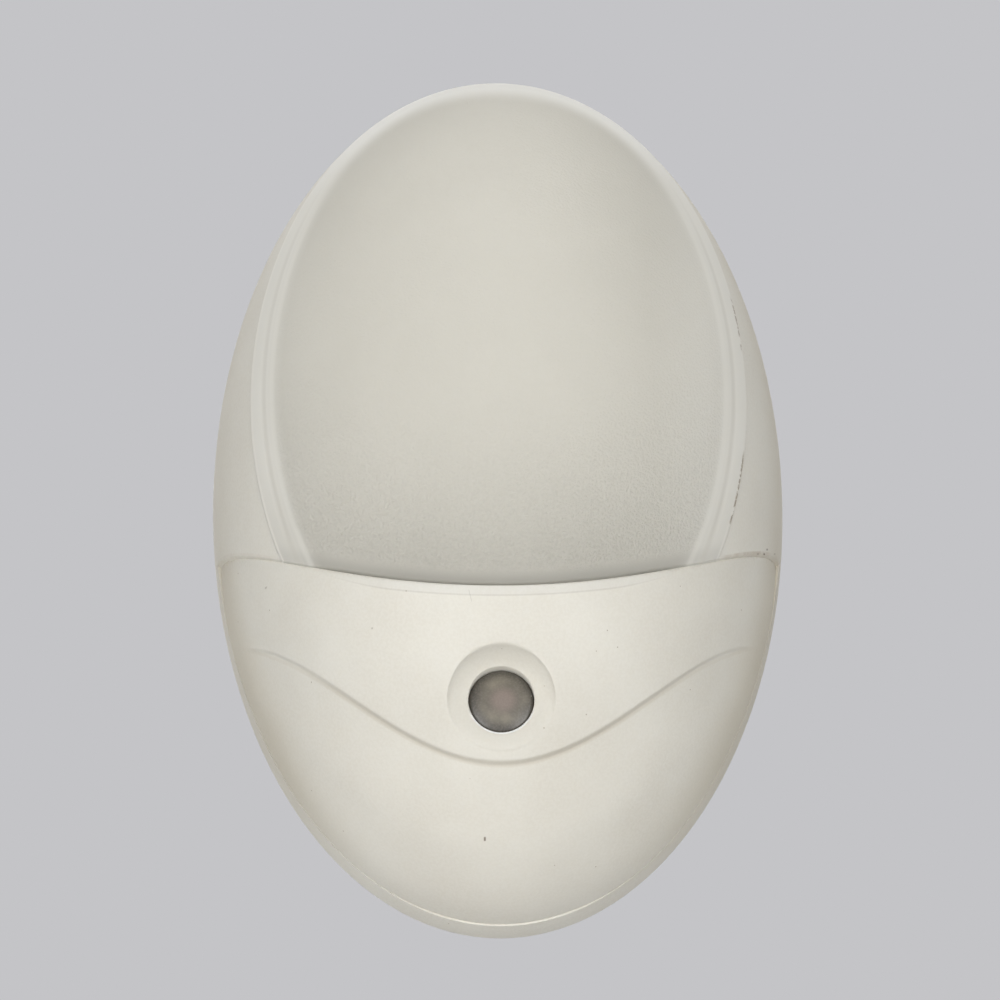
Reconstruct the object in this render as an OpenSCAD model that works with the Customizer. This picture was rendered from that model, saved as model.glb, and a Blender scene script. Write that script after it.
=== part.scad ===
// Automatic plug-in night light: an oval two-piece housing with a snap-in diffuser,
// a screw-in lamp, a light sensor on a small circuit board and a two-blade wall plug.
// +Z is up, the front faces -Y, and the back lies on the wall plane Y = 0.
// The origin is on the wall plane at the centre of the oval.

/* [Housing] */
// Width of the oval housing
body_w = 64; // [62:1:76]
// Height of the oval housing
body_h = 100; // [98:1:120]
// Depth of the dome in front of the wall plane
body_d = 34; // [33:0.5:42]
// Wall thickness of the moulded housing pieces
wall_t = 2.2; // [1.8:0.1:2.4]
// Thickness of the flat back that lies on the wall
back_t = 2.2; // [1.8:0.1:2.6]
// Height of the rear housing's rim behind the front cover
rim_d = 3.6; // [3.2:0.1:4]
// How far the front cover sits inside the rear housing's outline
cover_inset = 0.3; // [0.1:0.05:0.5]
// Height of the front cover at its middle
cover_h = 31.1; // [30.6:0.1:32]
// Radius of the curved seam along the front cover's top edge
seam_r = 48; // [44:1:60]
// Gap between neighbouring moulded pieces along the seams
seam_gap = 0.12; // [0.05:0.01:0.2]

/* [Lens] */
// Width of the housing wall left on each side of the lens
wing_w = 4.3; // [4:0.1:5]
// Height of the housing wall left above the lens
lens_top_rim = 1; // [0.8:0.1:2]
// Height from the housing's bottom to the lens outline's lowest point, behind the cover
lens_low = 16; // [12:1:18]
// Wall thickness of the lens
lens_t = 1.8; // [1.4:0.1:2]
// Gap around the lens
lens_gap = 0.2; // [0.15:0.01:0.3]
// Distance from the lens edge to its locating skirt
skirt_inset = 1.4; // [1.2:0.1:2]
// Thickness of the lens skirt
skirt_t = 1.3; // [1:0.1:1.6]
// Depth of the lens skirt behind the lens
skirt_d = 4.5; // [3:0.1:5]
// Width of the ledge that the lens edge rests on
ledge_w = 1.1; // [0.8:0.1:1.2]
// Thickness of that ledge
ledge_t = 1.8; // [1.4:0.1:2]

/* [Sensor] */
// Height of the sensor hole above the bottom of the housing
sensor_up = 19.9; // [19.5:0.1:20.5]
// Radius of the sensor hole
sensor_r = 3.67; // [3:0.05:3.8]
// Radius of the dish around the sensor hole
dish_r = 6.1; // [5.5:0.1:6.6]
// Depth of the dish
dish_depth = 1.7; // [1.4:0.1:1.9]
// Tilt of the dish below the horizontal
dish_tilt = 16; // [10:1:20]
// Wall around the window's seat
sensor_boss_t = 1.7; // [1.4:0.1:2]
// Thickness of the sensor window behind the hole
window_flange_t = 1.2; // [1:0.1:1.6]
// Step of the window's flange beyond the hole
window_flange_w = 0.9; // [0.6:0.1:1.2]
// Diameter of the photocell
photocell_dia = 5.1; // [4.5:0.1:5.6]
// Thickness of the photocell
photocell_t = 2.1; // [1.8:0.1:2.4]

/* [Lamp] */
// Diameter of the lamp's glass
glass_dia = 19; // [17:0.5:19.5]
// Overall length of the lamp
lamp_l = 47; // [44:0.5:48]
// Outside diameter of the lamp's screw base
lamp_base_dia = 11.9; // [11.5:0.1:12]
// Length of the lamp's screw base
lamp_base_l = 15.5; // [14:0.5:16.5]
// Wall thickness of the lamp's glass
glass_t = 0.6; // [0.5:0.1:0.9]
// Space between the lamp's glass and the flat back
lamp_back_gap = 2.8; // [2.4:0.1:3.4]
// Outside diameter of the lamp holder
holder_dia = 17; // [16:0.5:17.5]
// Height of the lamp holder
holder_h = 19.5; // [18:0.5:20]
// Thickness of the brass screw shell
shell_t = 0.35; // [0.3:0.05:0.4]

/* [Plug] */
// Distance between the middles of the two blades
blade_pitch = 12.7; // [12.5:0.1:12.9]
// Thickness of a blade
blade_t = 1.5; // [1.4:0.05:1.6]
// Width of the line blade
line_w = 6.35; // [6.1:0.05:6.5]
// Width of the neutral blade
neutral_w = 7.94; // [7.8:0.02:8]
// Length of the blades beyond the wall plane
blade_l = 17; // [16:0.5:18.2]
// Distance from the wall plane to the hole near a blade's tip
blade_hole_y = 11.9; // [11:0.1:12.5]
// Diameter of the hole near a blade's tip
blade_hole_dia = 3.2; // [3:0.1:3.6]
// Height of the blades' middle above the bottom of the housing
plug_up = 20; // [19.5:0.5:20.5]

/* [Circuit board] */
// Width of the board along its top edge
board_w = 33; // [31:0.5:33.5]
// Height of the board
board_h = 14.5; // [14:0.1:14.8]
// Thickness of the board
board_t = 1.6; // [1.2:0.1:1.8]
// Height of the board's lower edge above the bottom of the housing
board_up = 12; // [11.8:0.1:12.4]
// Distance from the flat back to the board
board_post_h = 9; // [8.8:0.1:9.4]

/* [Hidden] */
$fn = 64;
dome_fn = 180;
far = 200;

// housing
half_w = body_w / 2;
half_h = body_h / 2;
bottom_z = -half_h;
back_y = -back_t;
cover_top_z = bottom_z + cover_h;
seam_z = cover_top_z + seam_r;
lip_t = 1.2;
lip_gap = 0.15;
lip_h = 2.2;
cover_ledge_w = 1.1;
lip_drop = 6;
vent_w = 16;
vent_h = 1.4;
vent_pitch = 3.2;
vent_drop = 22;
// how far a cut runs past what it cuts
cut_past = 1;

// lens
lens_half_w = half_w - wing_w;
lens_half_h = (body_h - lens_top_rim - lens_low) / 2;
lens_z = half_h - lens_top_rim - lens_half_h;
lens_seat_step = 1;
lens_seat_y = -rim_d - lens_seat_step;
ledge_gap = 0.3;
ledge_root = 1.5;
ledge_top_drop = 9;
ledge_top_z = lens_z + lens_half_h - ledge_top_drop;
cover_ledge_h = 2.5;

// sensor
sensor_z = bottom_z + sensor_up;
sensor_surface_y = dome_y(0, sensor_z, cover_inset);
dish_seat = 0.4;
dish_round = 0.4;
dish_flare = 1;
dish_clear = 6;
dish_land = 0.2;
dish_floor_y = sensor_surface_y + dish_depth + dish_seat;
dish_floor_r = sensor_r + dish_land;
window_clearance = 0.08;
window_recess = 1;
window_neck = 1.4;
window_face_y = dish_floor_y + window_recess;
window_step_y = window_face_y + window_neck;
window_back_y = window_step_y + window_flange_t;
photocell_gap = 0.5;
photocell_y = window_back_y + photocell_gap;

// circuit board
board_back_y = back_y - board_post_h;
board_front_y = board_back_y - board_t;
board_z0 = bottom_z + board_up;
board_z1 = board_z0 + board_h;
board_taper = 11;
board_low_w = board_w - board_taper;
board_shoulder = 6;
board_edge = 4;
board_post_x = board_w / 2 - board_edge;
post_drop = 7.4;
board_post_z = board_z1 - post_drop;
post_r = 2.3;
sheet_t = 0.3;
sheet_gap = 1;
lead_r = 0.3;
part_lift = 0.3;
solder_h = 0.9;
solder_r = 0.6;
cell_lead_x = 1.7;
diode_inset = 9;
diode_drop = 2;
diode_x = board_w / 2 - diode_inset;
diode_z = board_z1 - diode_drop;
diode_r = 1.2;
diode_l = 4.2;
diode_reach = 3.1;
resistor_r = 1.1;
resistor_l = 5;
resistor_reach = 3.4;
resistor_drop = 5.1;
resistor_rise = 1.5;
part_inset = 9.5;
part_x = board_w / 2 - part_inset;
capacitor_drop = 3.6;
capacitor_x = -part_x;
capacitor_z = board_z1 - capacitor_drop;
capacitor_r = 2.5;
capacitor_h = 5.5;
capacitor_lead_x = 1.2;
triac_r = 2.2;
triac_flat = 0.7;
triac_h = 4.6;
triac_lift = 0.3;
triac_gap = 0.3;
triac_z = sensor_z - photocell_dia / 2 - triac_gap - triac_flat * triac_r;
triac_pitch = 1.27;

// plug
plug_z = bottom_z + plug_up;
blade_half = blade_pitch / 2;
blade_fit = 0.05;
block_side = 3.5;
block_w = blade_pitch + 2 * block_side;
block_h = 12;
block_t = 3;
block_y = back_y - block_t;
shoulder_t = 1.2;
shoulder_w = 1.2;
clamp_t = 2;
clamp_y = block_y - shoulder_t;
clamp_front_y = clamp_y - clamp_t;
tail_w = 2.4;
tail_drop = 2.3;
tail_z = plug_z - tail_drop;
pad_t = 0.7;
tail_end_y = board_front_y;
clamp_screw_z = 3.9;

// baffle and lamp holder
baffle_t = 0.8;
baffle_gap = 1.5;
baffle_side_gap = 0.6;
baffle_front = 0.5;
baffle_z1 = board_z1 + baffle_gap;
baffle_z0 = baffle_z1 - baffle_t;
baffle_w = board_w;
rib_l = 7;
rib_t = 1.2;
rib_w = 2;
lamp_y = back_y - lamp_back_gap - glass_dia / 2;
holder_r = holder_dia / 2;
holder_z0 = baffle_z1;
holder_z1 = holder_z0 + holder_h;
holder_floor_t = 2.2;
contact_t = 0.4;
dimple_h = 0.4;
lamp_gap = 0.1;
lamp_z0 = holder_z0 + holder_floor_t + contact_t + dimple_h + lamp_gap;
lamp_r = lamp_base_dia / 2;
thread_clearance = 0.08;
shell_r = lamp_r + thread_clearance;
shell_seat_gap = 0.05;
terminal_w = 3;
terminal_rise = 3.2;
terminal_h = 2.4;
terminal_gap = 0.2;
terminal_z = holder_z0 + terminal_rise;
contact_reach = 2.4;
dimple_r = 1.3;
shell_drop = 2.5;
lead_x = board_w / 2 - board_edge;
wire_r = 0.8;
wire_gap = 0.3;
wire_off = 2.2;
wire_y = board_front_y - wire_off;
wire_z = board_z1 - wire_off;
ear_w = 6;
ear_h = 7;
ear_t = 2;
ear_reach = 3.2;
ear_rise = 11;
ear_back = 5;
ear_root = 1.5;
ear_x = holder_r + ear_reach;
ear_z = holder_z0 + ear_rise;
ear_y = back_y - ear_back;

// lamp
tip_h = 0.6;
insulator_h = 1.6;
lamp_cap_z = lamp_z0 + tip_h + insulator_h;
lamp_top_z = lamp_z0 + lamp_l;
cap_t = 0.35;
cap_hole_r = 3;
cap_fit = 0.05;
neck_r = lamp_r - cap_t - cap_fit;
glass_r = glass_dia / 2;
neck_l = 4.5;
neck_out = 0.8;
flare_l = 9;
neck_z0 = lamp_cap_z + lamp_base_l - neck_l;
flare_z0 = lamp_cap_z + lamp_base_l + neck_out;
flare_z1 = flare_z0 + flare_l;
stem_gap = 0.3;
stem_fit = 0.1;
stem_z = neck_z0 + stem_gap;
stem_h = 10;
support_x = 1.2;
support_r = 0.2;
support_l = 8;
support_tilt = 14;
support_z = stem_z + stem_h + support_r * sin(support_tilt);

// screws
cover_screw_x = 20.5;
cover_screw_up = 25;
low_screw_up = 7;
cover_screw_z = bottom_z + cover_screw_up;
low_screw_z = bottom_z + low_screw_up;
boss_r = 3.1;
sleeve_r = 3.6;
sleeve_d = 2.8;
screw_web = 1.5;
screw_fit = 0.05;
screw_hole_gap = 0.15;
small_head_h = 1.3;
small_screw_l = 6;
big_head_h = 1.6;
small_head_r = 1.9;
small_shank_r = 0.9;
big_head_r = 2.3;
big_shank_r = 1.25;
big_screw_l = 8;
recess_r = 2.5;

COVER_SCREWS = [[-cover_screw_x, cover_screw_z], [cover_screw_x, cover_screw_z], [0, low_screw_z]];
BOARD_SCREWS = [[-board_post_x, board_post_z], [board_post_x, board_post_z]];
EAR_SCREWS = [[-ear_x, ear_z], [ear_x, ear_z]];
CLAMP_SCREWS = [[0, plug_z - clamp_screw_z], [0, plug_z + clamp_screw_z]];
RESISTORS = [
    [part_x, board_z1 - resistor_drop],
    [part_x, board_z0 + resistor_rise],
    [-part_x, board_z0 + resistor_rise]
];
VENTS = [for (i = [0:4]) half_h - vent_drop + vent_pitch * i];

// depth of the dome at a point of the front view, on a surface that lies i inside the outline
function dome_y(x, z, i) =
    -(body_d - i) * sqrt(max(0, 1 - pow(x / (half_w - i), 2) - pow(z / (half_h - i), 2)));

// the body's ellipsoid, i inside its outline
module dome(i) {
    scale([(half_w - i) / body_d, (body_d - i) / body_d, (half_h - i) / body_d])
        rotate([90, 0, 0])
            sphere(r = body_d, $fn = dome_fn);
}

// everything between two depths, near the wall and far from it
module slab(y_near, y_far) {
    translate([-far, y_far, -far]) cube([2 * far, y_near - y_far, 2 * far]);
}

// a round bar along Y between two depths
module bar(x, z, r, y_near, y_far) {
    translate([x, y_near, z]) rotate([90, 0, 0]) cylinder(r = r, h = y_near - y_far);
}

// a bar along Z at the lamp's axis
module lamp_bar(r, z0, z1) {
    translate([0, lamp_y, z0]) cylinder(r = r, h = z1 - z0);
}

// the space above the seam, drawn in from it by i
module above_seam(i) {
    translate([0, 0, seam_z]) rotate([90, 0, 0]) cylinder(r = seam_r - i, h = far, $fn = dome_fn);
}

// the lens opening's oval, drawn in by i, without its cut at the seam
module lens_oval(i) {
    rotate([90, 0, 0]) linear_extrude(height = far) translate([0, lens_z])
        scale([lens_half_w - i, lens_half_h - i]) circle(r = 1, $fn = dome_fn);
}

// the lens outline, cut at the seam and drawn in by i
module lens_zone(i) {
    intersection() {
        lens_oval(lens_gap + i);
        above_seam(lens_gap + i);
    }
}

// the layer of depth d under the surface that lies i inside the outline
module under_dome(i, d) {
    difference() {
        dome(i);
        translate([0, d, 0]) dome(i);
    }
}

// a screw along -Y with a cross recess; its head's top is at y_head and it points the way dir gives
module screw(x, z, y_head, head_r, head_h, shank_r, l, dir) {
    slot_w = head_r * 0.28;
    slot_l = head_r * 1.2;
    translate([x, y_head, z]) rotate([-90 * dir, 0, 0]) difference() {
        union() {
            cylinder(r = head_r, h = head_h);
            cylinder(r = shank_r, h = head_h + l);
        }
        for (a = [0, 90]) rotate(a)
            translate([-slot_l / 2, -slot_w / 2, -1]) cube([slot_l, slot_w, 1 + head_h * 0.5]);
    }
}

// a small screw whose head lies on the face at depth y
module small_screw(p, y) {
    screw(p[0], p[1], y - small_head_h, small_head_r, small_head_h, small_shank_r, small_screw_l, 1);
}

module back_plate() {
    intersection() {
        dome(0);
        slab(0, back_y);
    }
}

module rim() {
    intersection() {
        difference() {
            dome(0);
            dome(wall_t);
        }
        slab(0, -rim_d);
    }
}

module wings() {
    difference() {
        intersection() {
            dome(0);
            above_seam(0);
            slab(-rim_d / 2, -far);
        }
        dome(wall_t);
        translate([0, lens_seat_y, 0]) lens_oval(0);
    }
}

// the ledge behind the lens edge, along the sides of the opening
module side_ledge() {
    intersection() {
        difference() {
            lens_oval(-ledge_root);
            lens_oval(ledge_w);
        }
        under_dome(lens_t + ledge_gap, ledge_t);
        above_seam(0);
        translate([-far, -far, -far]) cube([2 * far, far + lens_seat_y, far + ledge_top_z]);
    }
}

// the low lip that the front cover slides over
module locating_lip() {
    inset = cover_inset + wall_t + lip_gap;
    difference() {
        intersection() {
            dome(inset);
            slab(back_y / 2, -rim_d - lip_h);
            translate([-far, -far, bottom_z]) cube([2 * far, 2 * far, cover_h - lip_drop]);
        }
        dome(inset + lip_t);
        for (p = COVER_SCREWS) bar(p[0], p[1], sleeve_r, 0, -far);
    }
}

module housing_posts() {
    for (p = BOARD_SCREWS) bar(p[0], p[1], post_r, back_y / 2, board_back_y);
    for (p = EAR_SCREWS) bar(p[0], p[1], post_r, back_y / 2, ear_y);
    for (p = COVER_SCREWS) bar(p[0], p[1], sleeve_r, back_y / 2, back_y - sleeve_d);
    translate([-block_w / 2, block_y, plug_z - block_h / 2]) cube([block_w, block_t + back_t / 2, block_h]);
    for (s = [-1, 1]) translate([s * (baffle_w / 2 - rib_w) - rib_w / 2, back_y - rib_l, baffle_z0 - rib_t])
        cube([rib_w, rib_l + back_t / 2, rib_t]);
}

module housing_holes() {
    for (p = COVER_SCREWS) {
        bar(p[0], p[1], recess_r, cut_past, back_y - sleeve_d + screw_web);
        bar(p[0], p[1], big_shank_r + screw_fit, cut_past, back_y - sleeve_d - cut_past);
    }
    for (p = BOARD_SCREWS) bar(p[0], p[1], small_shank_r + screw_fit, back_y, -far);
    for (p = EAR_SCREWS) bar(p[0], p[1], small_shank_r + screw_fit, back_y, -far);
    for (p = CLAMP_SCREWS) bar(p[0], p[1], small_shank_r + screw_fit, back_y / 2, -far);
    blade_slot(-blade_half, line_w);
    blade_slot(blade_half, neutral_w);
    for (z = VENTS) translate([-vent_w / 2, back_y - cut_past, z])
        cube([vent_w, back_t + 2 * cut_past, vent_h]);
}

module blade_slot(x, w) {
    translate([x - blade_t / 2 - blade_fit, block_y - cut_past, plug_z - w / 2 - blade_fit])
        cube([blade_t + 2 * blade_fit, block_t + back_t + 2 * cut_past, w + 2 * blade_fit]);
}

module rear_housing() {
    color("#DEDBD1") difference() {
        union() {
            back_plate();
            rim();
            wings();
            side_ledge();
            locating_lip();
            housing_posts();
        }
        housing_holes();
    }
}

module cover_shell() {
    difference() {
        intersection() {
            dome(cover_inset);
            slab(-rim_d, -far);
        }
        dome(cover_inset + wall_t);
        above_seam(-seam_gap);
    }
}

// the ledge behind the lens's lower edge
module cover_ledge() {
    difference() {
        intersection() {
            under_dome(lens_t + ledge_gap, ledge_t);
            lens_oval(skirt_inset + skirt_t);
            above_seam(-cover_ledge_h);
        }
        above_seam(cover_ledge_w);
    }
}

module cover_bosses() {
    intersection() {
        dome(cover_inset + wall_t / 2);
        union() {
            for (p = COVER_SCREWS) bar(p[0], p[1], boss_r, back_y - sleeve_d, -far);
            bar(0, sensor_z, sensor_r + window_flange_w + sensor_boss_t, window_back_y, -far);
        }
    }
}

// the dish in front of the sensor and the stepped bore that holds the window
module sensor_cut() {
    rise = dish_depth + dish_clear;
    translate([0, dish_floor_y, sensor_z]) rotate([90 + dish_tilt, 0, 0]) rotate_extrude()
        polygon([
            [0, 0], [dish_floor_r, 0], [dish_r - dish_round, dish_depth * dish_round],
            [dish_r, dish_depth], [dish_r + dish_flare, rise], [0, rise]
        ]);
    bar(0, sensor_z, sensor_r, 0, window_face_y - 3);
    bar(0, sensor_z, sensor_r + window_flange_w + window_clearance, 0, window_step_y);
}

module front_cover() {
    color("#E1DED5") difference() {
        union() {
            cover_shell();
            cover_ledge();
            cover_bosses();
        }
        sensor_cut();
        for (p = COVER_SCREWS)
            bar(p[0], p[1], big_shank_r + screw_fit, 0, back_y - sleeve_d + screw_web - big_screw_l - 1);
    }
}

module lens() {
    color("#D1CFC5") {
        intersection() {
            lens_zone(0);
            difference() {
                dome(0);
                dome(lens_t);
            }
            slab(lens_seat_y - ledge_gap, -far);
        }
        intersection() {
            difference() {
                lens_zone(skirt_inset);
                lens_zone(skirt_inset + skirt_t);
            }
            under_dome(lens_t / 2, skirt_d);
            slab(lens_seat_y - ledge_gap, -far);
        }
    }
}

module sensor_window() {
    color("#8C857C") {
        bar(0, sensor_z, sensor_r - window_clearance, window_step_y, window_face_y);
        bar(0, sensor_z, sensor_r + window_flange_w, window_back_y, window_step_y);
    }
}

module photocell() {
    color("#B6653C") bar(0, sensor_z, photocell_dia / 2, photocell_y + photocell_t, photocell_y);
    color("silver") for (s = [-1, 1])
        bar(s * cell_lead_x, sensor_z, lead_r, board_front_y, photocell_y + photocell_t / 2);
}

// the board's outline, with its lower corners cut to clear the dome
module board_outline() {
    polygon([
        [-board_w / 2, board_z1], [-board_w / 2, board_z1 - board_shoulder],
        [-board_low_w / 2, board_z0], [board_low_w / 2, board_z0],
        [board_w / 2, board_z1 - board_shoulder], [board_w / 2, board_z1]
    ]);
}

module board_plate(y_near, t) {
    translate([0, y_near, 0]) rotate([90, 0, 0]) linear_extrude(height = t) board_outline();
}

module tail_slots() {
    gap = 2 * blade_fit + 0.1;
    for (s = [-1, 1])
        translate([s * blade_half - (blade_t + gap) / 2, -far, tail_z - (tail_w + gap) / 2])
            cube([blade_t + gap, far, tail_w + gap]);
}

module circuit_board() {
    color("#3F6B46") difference() {
        board_plate(board_back_y, board_t);
        tail_slots();
        for (p = BOARD_SCREWS) bar(p[0], p[1], small_shank_r + screw_hole_gap, 0, -far);
    }
}

module insulating_sheet() {
    color("#B9AE93") difference() {
        board_plate(board_back_y + sheet_gap + sheet_t, sheet_t);
        tail_slots();
        for (p = BOARD_SCREWS) bar(p[0], p[1], post_r, 0, -far);
    }
}

// an upright package with one flat side, on three leads
module triac() {
    color("#26262A") intersection() {
        bar(0, triac_z, triac_r, board_front_y - triac_lift, board_front_y - triac_lift - triac_h);
        translate([-triac_r, -far, triac_z - triac_r]) cube([2 * triac_r, far, triac_r * (1 + triac_flat)]);
    }
    color("silver") for (i = [-1:1])
        bar(i * triac_pitch, triac_z, lead_r, board_front_y, board_front_y - triac_lift);
}

module capacitor() {
    color("#2F4F86") bar(capacitor_x, capacitor_z, capacitor_r, board_front_y, board_front_y - capacitor_h);
}

// a cylinder that lies across the board, with bent leads
module axial(x, z, r, l, reach) {
    y = board_front_y - part_lift - r;
    translate([x, y, z]) {
        rotate([0, 90, 0]) cylinder(r = r, h = l, center = true);
        for (s = [-1, 1]) {
            rotate([0, 90 * s, 0]) cylinder(r = lead_r, h = reach);
            translate([s * reach, 0, 0]) sphere(r = lead_r);
            translate([s * reach, 0, 0]) rotate([-90, 0, 0]) cylinder(r = lead_r, h = r + part_lift);
        }
    }
}

module diode() {
    color("#232323") axial(diode_x, diode_z, diode_r, diode_l, diode_reach);
}

module resistors() {
    color("#C8A878") for (p = RESISTORS) axial(p[0], p[1], resistor_r, resistor_l, resistor_reach);
}

// one soldered cone behind the board for each lead, and one pad in front for each blade tail
module solder_joints() {
    color("#B8B9BC") {
        for (p = solder_points())
            translate([p[0], board_back_y, p[1]]) rotate([-90, 0, 0])
                cylinder(r1 = solder_r, r2 = solder_r * 0.45, h = solder_h);
        for (s = [-1, 1])
            translate([s * blade_half - blade_t, board_front_y - pad_t, tail_z - tail_w * 0.8])
                cube([blade_t * 2, pad_t, tail_w * 1.6]);
    }
}

function solder_points() = concat(
    [for (s = [-1, 1]) [s * cell_lead_x, sensor_z]],
    [for (s = [-1, 1]) [capacitor_x + s * capacitor_lead_x, capacitor_z]],
    [for (s = [-1, 1]) [diode_x + s * diode_reach, diode_z]],
    [for (s = [-1, 1]) [s * lead_x, wire_z]],
    [for (p = RESISTORS) for (s = [-1, 1]) [p[0] + s * resistor_reach, p[1]]],
    [for (i = [-1:1]) [i * triac_pitch, triac_z]]
);

// the plate that keeps the lamp's light off the photocell, notched for the two wires
module light_baffle() {
    notch_r = wire_r + wire_gap;
    front_y = lamp_y - holder_r - baffle_front;
    color("#D8D5CB") difference() {
        intersection() {
            dome(cover_inset + wall_t + baffle_side_gap);
            translate([-baffle_w / 2, front_y, baffle_z0])
                cube([baffle_w, back_y - front_y, baffle_t]);
        }
        for (s = [-1, 1]) translate([s * lead_x, wire_y, baffle_z0 - 1])
            cylinder(r = notch_r, h = baffle_t + 2);
    }
}

module terminal_window(s) {
    x = s > 0 ? lamp_r - 1 : -holder_r - 1;
    translate([x, lamp_y - terminal_w / 2 - terminal_gap, holder_z0 + holder_floor_t])
        cube([holder_r - lamp_r + 2, terminal_w + 2 * terminal_gap, terminal_h]);
}

module lamp_holder() {
    color("#E6E2D6") difference() {
        union() {
            lamp_bar(holder_r, holder_z0, holder_z1);
            for (s = [-1, 1])
                translate([s * (ear_x - ear_root) - ear_w / 2 - ear_root, ear_y - ear_t, ear_z - ear_h / 2])
                    cube([ear_w + 2 * ear_root, ear_t, ear_h]);
        }
        lamp_bar(shell_r + shell_t + shell_seat_gap, holder_z0 + holder_floor_t, far);
        for (s = [-1, 1]) terminal_window(s);
        for (p = EAR_SCREWS) bar(p[0], p[1], small_shank_r + screw_hole_gap, 0, -far);
    }
}

module holder_shell() {
    top = holder_z1 - shell_drop;
    color("#C9A24B") difference() {
        union() {
            lamp_bar(shell_r + shell_t, terminal_z, top);
            translate([-lead_x - wire_r, lamp_y - terminal_w / 2, terminal_z])
                cube([lead_x + wire_r - shell_r, terminal_w, contact_t]);
        }
        lamp_bar(shell_r, holder_z0, far);
    }
}

module centre_contact() {
    color("#C9A24B") {
        translate([-contact_reach, lamp_y - terminal_w / 2, holder_z0 + holder_floor_t])
            cube([lead_x + wire_r + contact_reach, terminal_w, contact_t]);
        lamp_bar(dimple_r, holder_z0 + holder_floor_t, lamp_z0 - lamp_gap);
    }
}

// an insulated wire from the board up through the baffle to the underside of a terminal at height z
module wire(s, z) {
    translate([s * lead_x, wire_y, wire_z]) {
        cylinder(r = wire_r, h = z - wire_z);
        sphere(r = wire_r);
        rotate([-90, 0, 0]) cylinder(r = wire_r, h = board_front_y - wire_y);
    }
}

module live_wire() {
    color("#1F1F1F") wire(1, holder_z0 + holder_floor_t);
}

module neutral_wire() {
    color("#E8E8E8") wire(-1, terminal_z);
}

module lamp_base() {
    color("#CBA85A") difference() {
        lamp_bar(lamp_r, lamp_cap_z, lamp_cap_z + lamp_base_l);
        lamp_bar(lamp_r - cap_t, lamp_cap_z + cap_t, far);
        lamp_bar(cap_hole_r, lamp_z0, far);
    }
}

module lamp_insulator() {
    color("#1C1A1E") translate([0, lamp_y, lamp_z0 + tip_h])
        cylinder(r1 = 2.8, r2 = lamp_r - 0.8, h = insulator_h);
}

module lamp_tip() {
    color("#A9A9AC") translate([0, lamp_y, lamp_z0]) cylinder(r1 = 1.6, r2 = 2.3, h = tip_h);
}

// the glass's outline at half its section, i inside the outer surface
function glass_profile(i) = [
    for (t = [0:0.2:1]) [
        neck_r - i + (glass_r - neck_r) * (1 - cos(180 * t)) / 2,
        flare_z0 + (flare_z1 - flare_z0) * t
    ],
    for (a = [0:10:90]) [
        (glass_r - i) * cos(a),
        lamp_top_z - glass_r + (glass_r - i) * sin(a)
    ]
];

module lamp_glass() {
    color("#E9EEF0") translate([0, lamp_y, 0]) difference() {
        rotate_extrude() polygon(concat([[0, neck_z0], [neck_r, neck_z0]], glass_profile(0)));
        rotate_extrude() polygon(concat(
            [[0, neck_z0 - 1], [neck_r - glass_t, neck_z0 - 1]], glass_profile(glass_t)
        ));
    }
}

// the glass stem that carries the two support wires
module lamp_stem() {
    stem_r = 1.6;
    color("#DDE6E8") translate([0, lamp_y, stem_z]) rotate_extrude() polygon([
        [0, 0], [neck_r - glass_t - stem_fit, 0], [3, 3], [stem_r, 6], [stem_r, stem_h], [0, stem_h]
    ]);
}

module support_wires() {
    color("silver") for (s = [-1, 1])
        translate([s * support_x, lamp_y, support_z]) rotate([0, s * support_tilt, 0])
            cylinder(r = support_r, h = support_l);
}

// a bow of wire between the tips of the supports
module filament() {
    span = support_x + support_l * sin(support_tilt);
    z = support_z + support_l * cos(support_tilt) + support_r / 2;
    color("#8A8580") translate([0, lamp_y, z]) rotate([90, 0, 0])
        rotate_extrude(angle = 180) translate([span, 0]) circle(r = support_r, $fn = 16);
}

// a blade along +Y with a chamfered tip, a shoulder behind the block and a narrow tail to the board
module blade(x, w) {
    chamfer = 1.2;
    tip_t = blade_t * 0.55;
    translate([x, 0, plug_z]) difference() {
        union() {
            intersection() {
                rotate([0, 90, 0]) linear_extrude(height = blade_t, center = true) polygon([
                    [-w / 2, block_y], [w / 2, block_y], [w / 2, blade_l - chamfer],
                    [w / 2 - chamfer, blade_l], [-w / 2 + chamfer, blade_l], [-w / 2, blade_l - chamfer]
                ]);
                translate([0, 0, -w]) linear_extrude(height = 2 * w) polygon([
                    [-blade_t / 2, block_y], [blade_t / 2, block_y], [blade_t / 2, blade_l - chamfer],
                    [tip_t / 2, blade_l], [-tip_t / 2, blade_l], [-blade_t / 2, blade_l - chamfer]
                ]);
            }
            translate([-blade_t / 2, block_y - shoulder_t, -w / 2 - shoulder_w])
                cube([blade_t, shoulder_t, w + 2 * shoulder_w]);
            translate([-blade_t / 2, tail_end_y, tail_z - plug_z - tail_w / 2])
                cube([blade_t, block_y - shoulder_t - tail_end_y, tail_w]);
        }
        translate([-blade_t, blade_hole_y, 0]) rotate([0, 90, 0])
            cylinder(r = blade_hole_dia / 2, h = 2 * blade_t);
    }
}

module line_blade() {
    color("#C6A765") blade(-blade_half, line_w);
}

module neutral_blade() {
    color("#C6A765") blade(blade_half, neutral_w);
}

module blade_clamp() {
    color("#D8D5CB") difference() {
        translate([-block_w / 2, clamp_front_y, plug_z - block_h / 2]) cube([block_w, clamp_t, block_h]);
        tail_slots();
        for (p = CLAMP_SCREWS) bar(p[0], p[1], small_shank_r + screw_fit, 0, -far);
    }
}

module clamp_screws() {
    color("#B4B6B8") for (p = CLAMP_SCREWS)
        small_screw(p, clamp_front_y);
}

module board_screws() {
    color("#B4B6B8") for (p = BOARD_SCREWS)
        small_screw(p, board_front_y);
}

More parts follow.
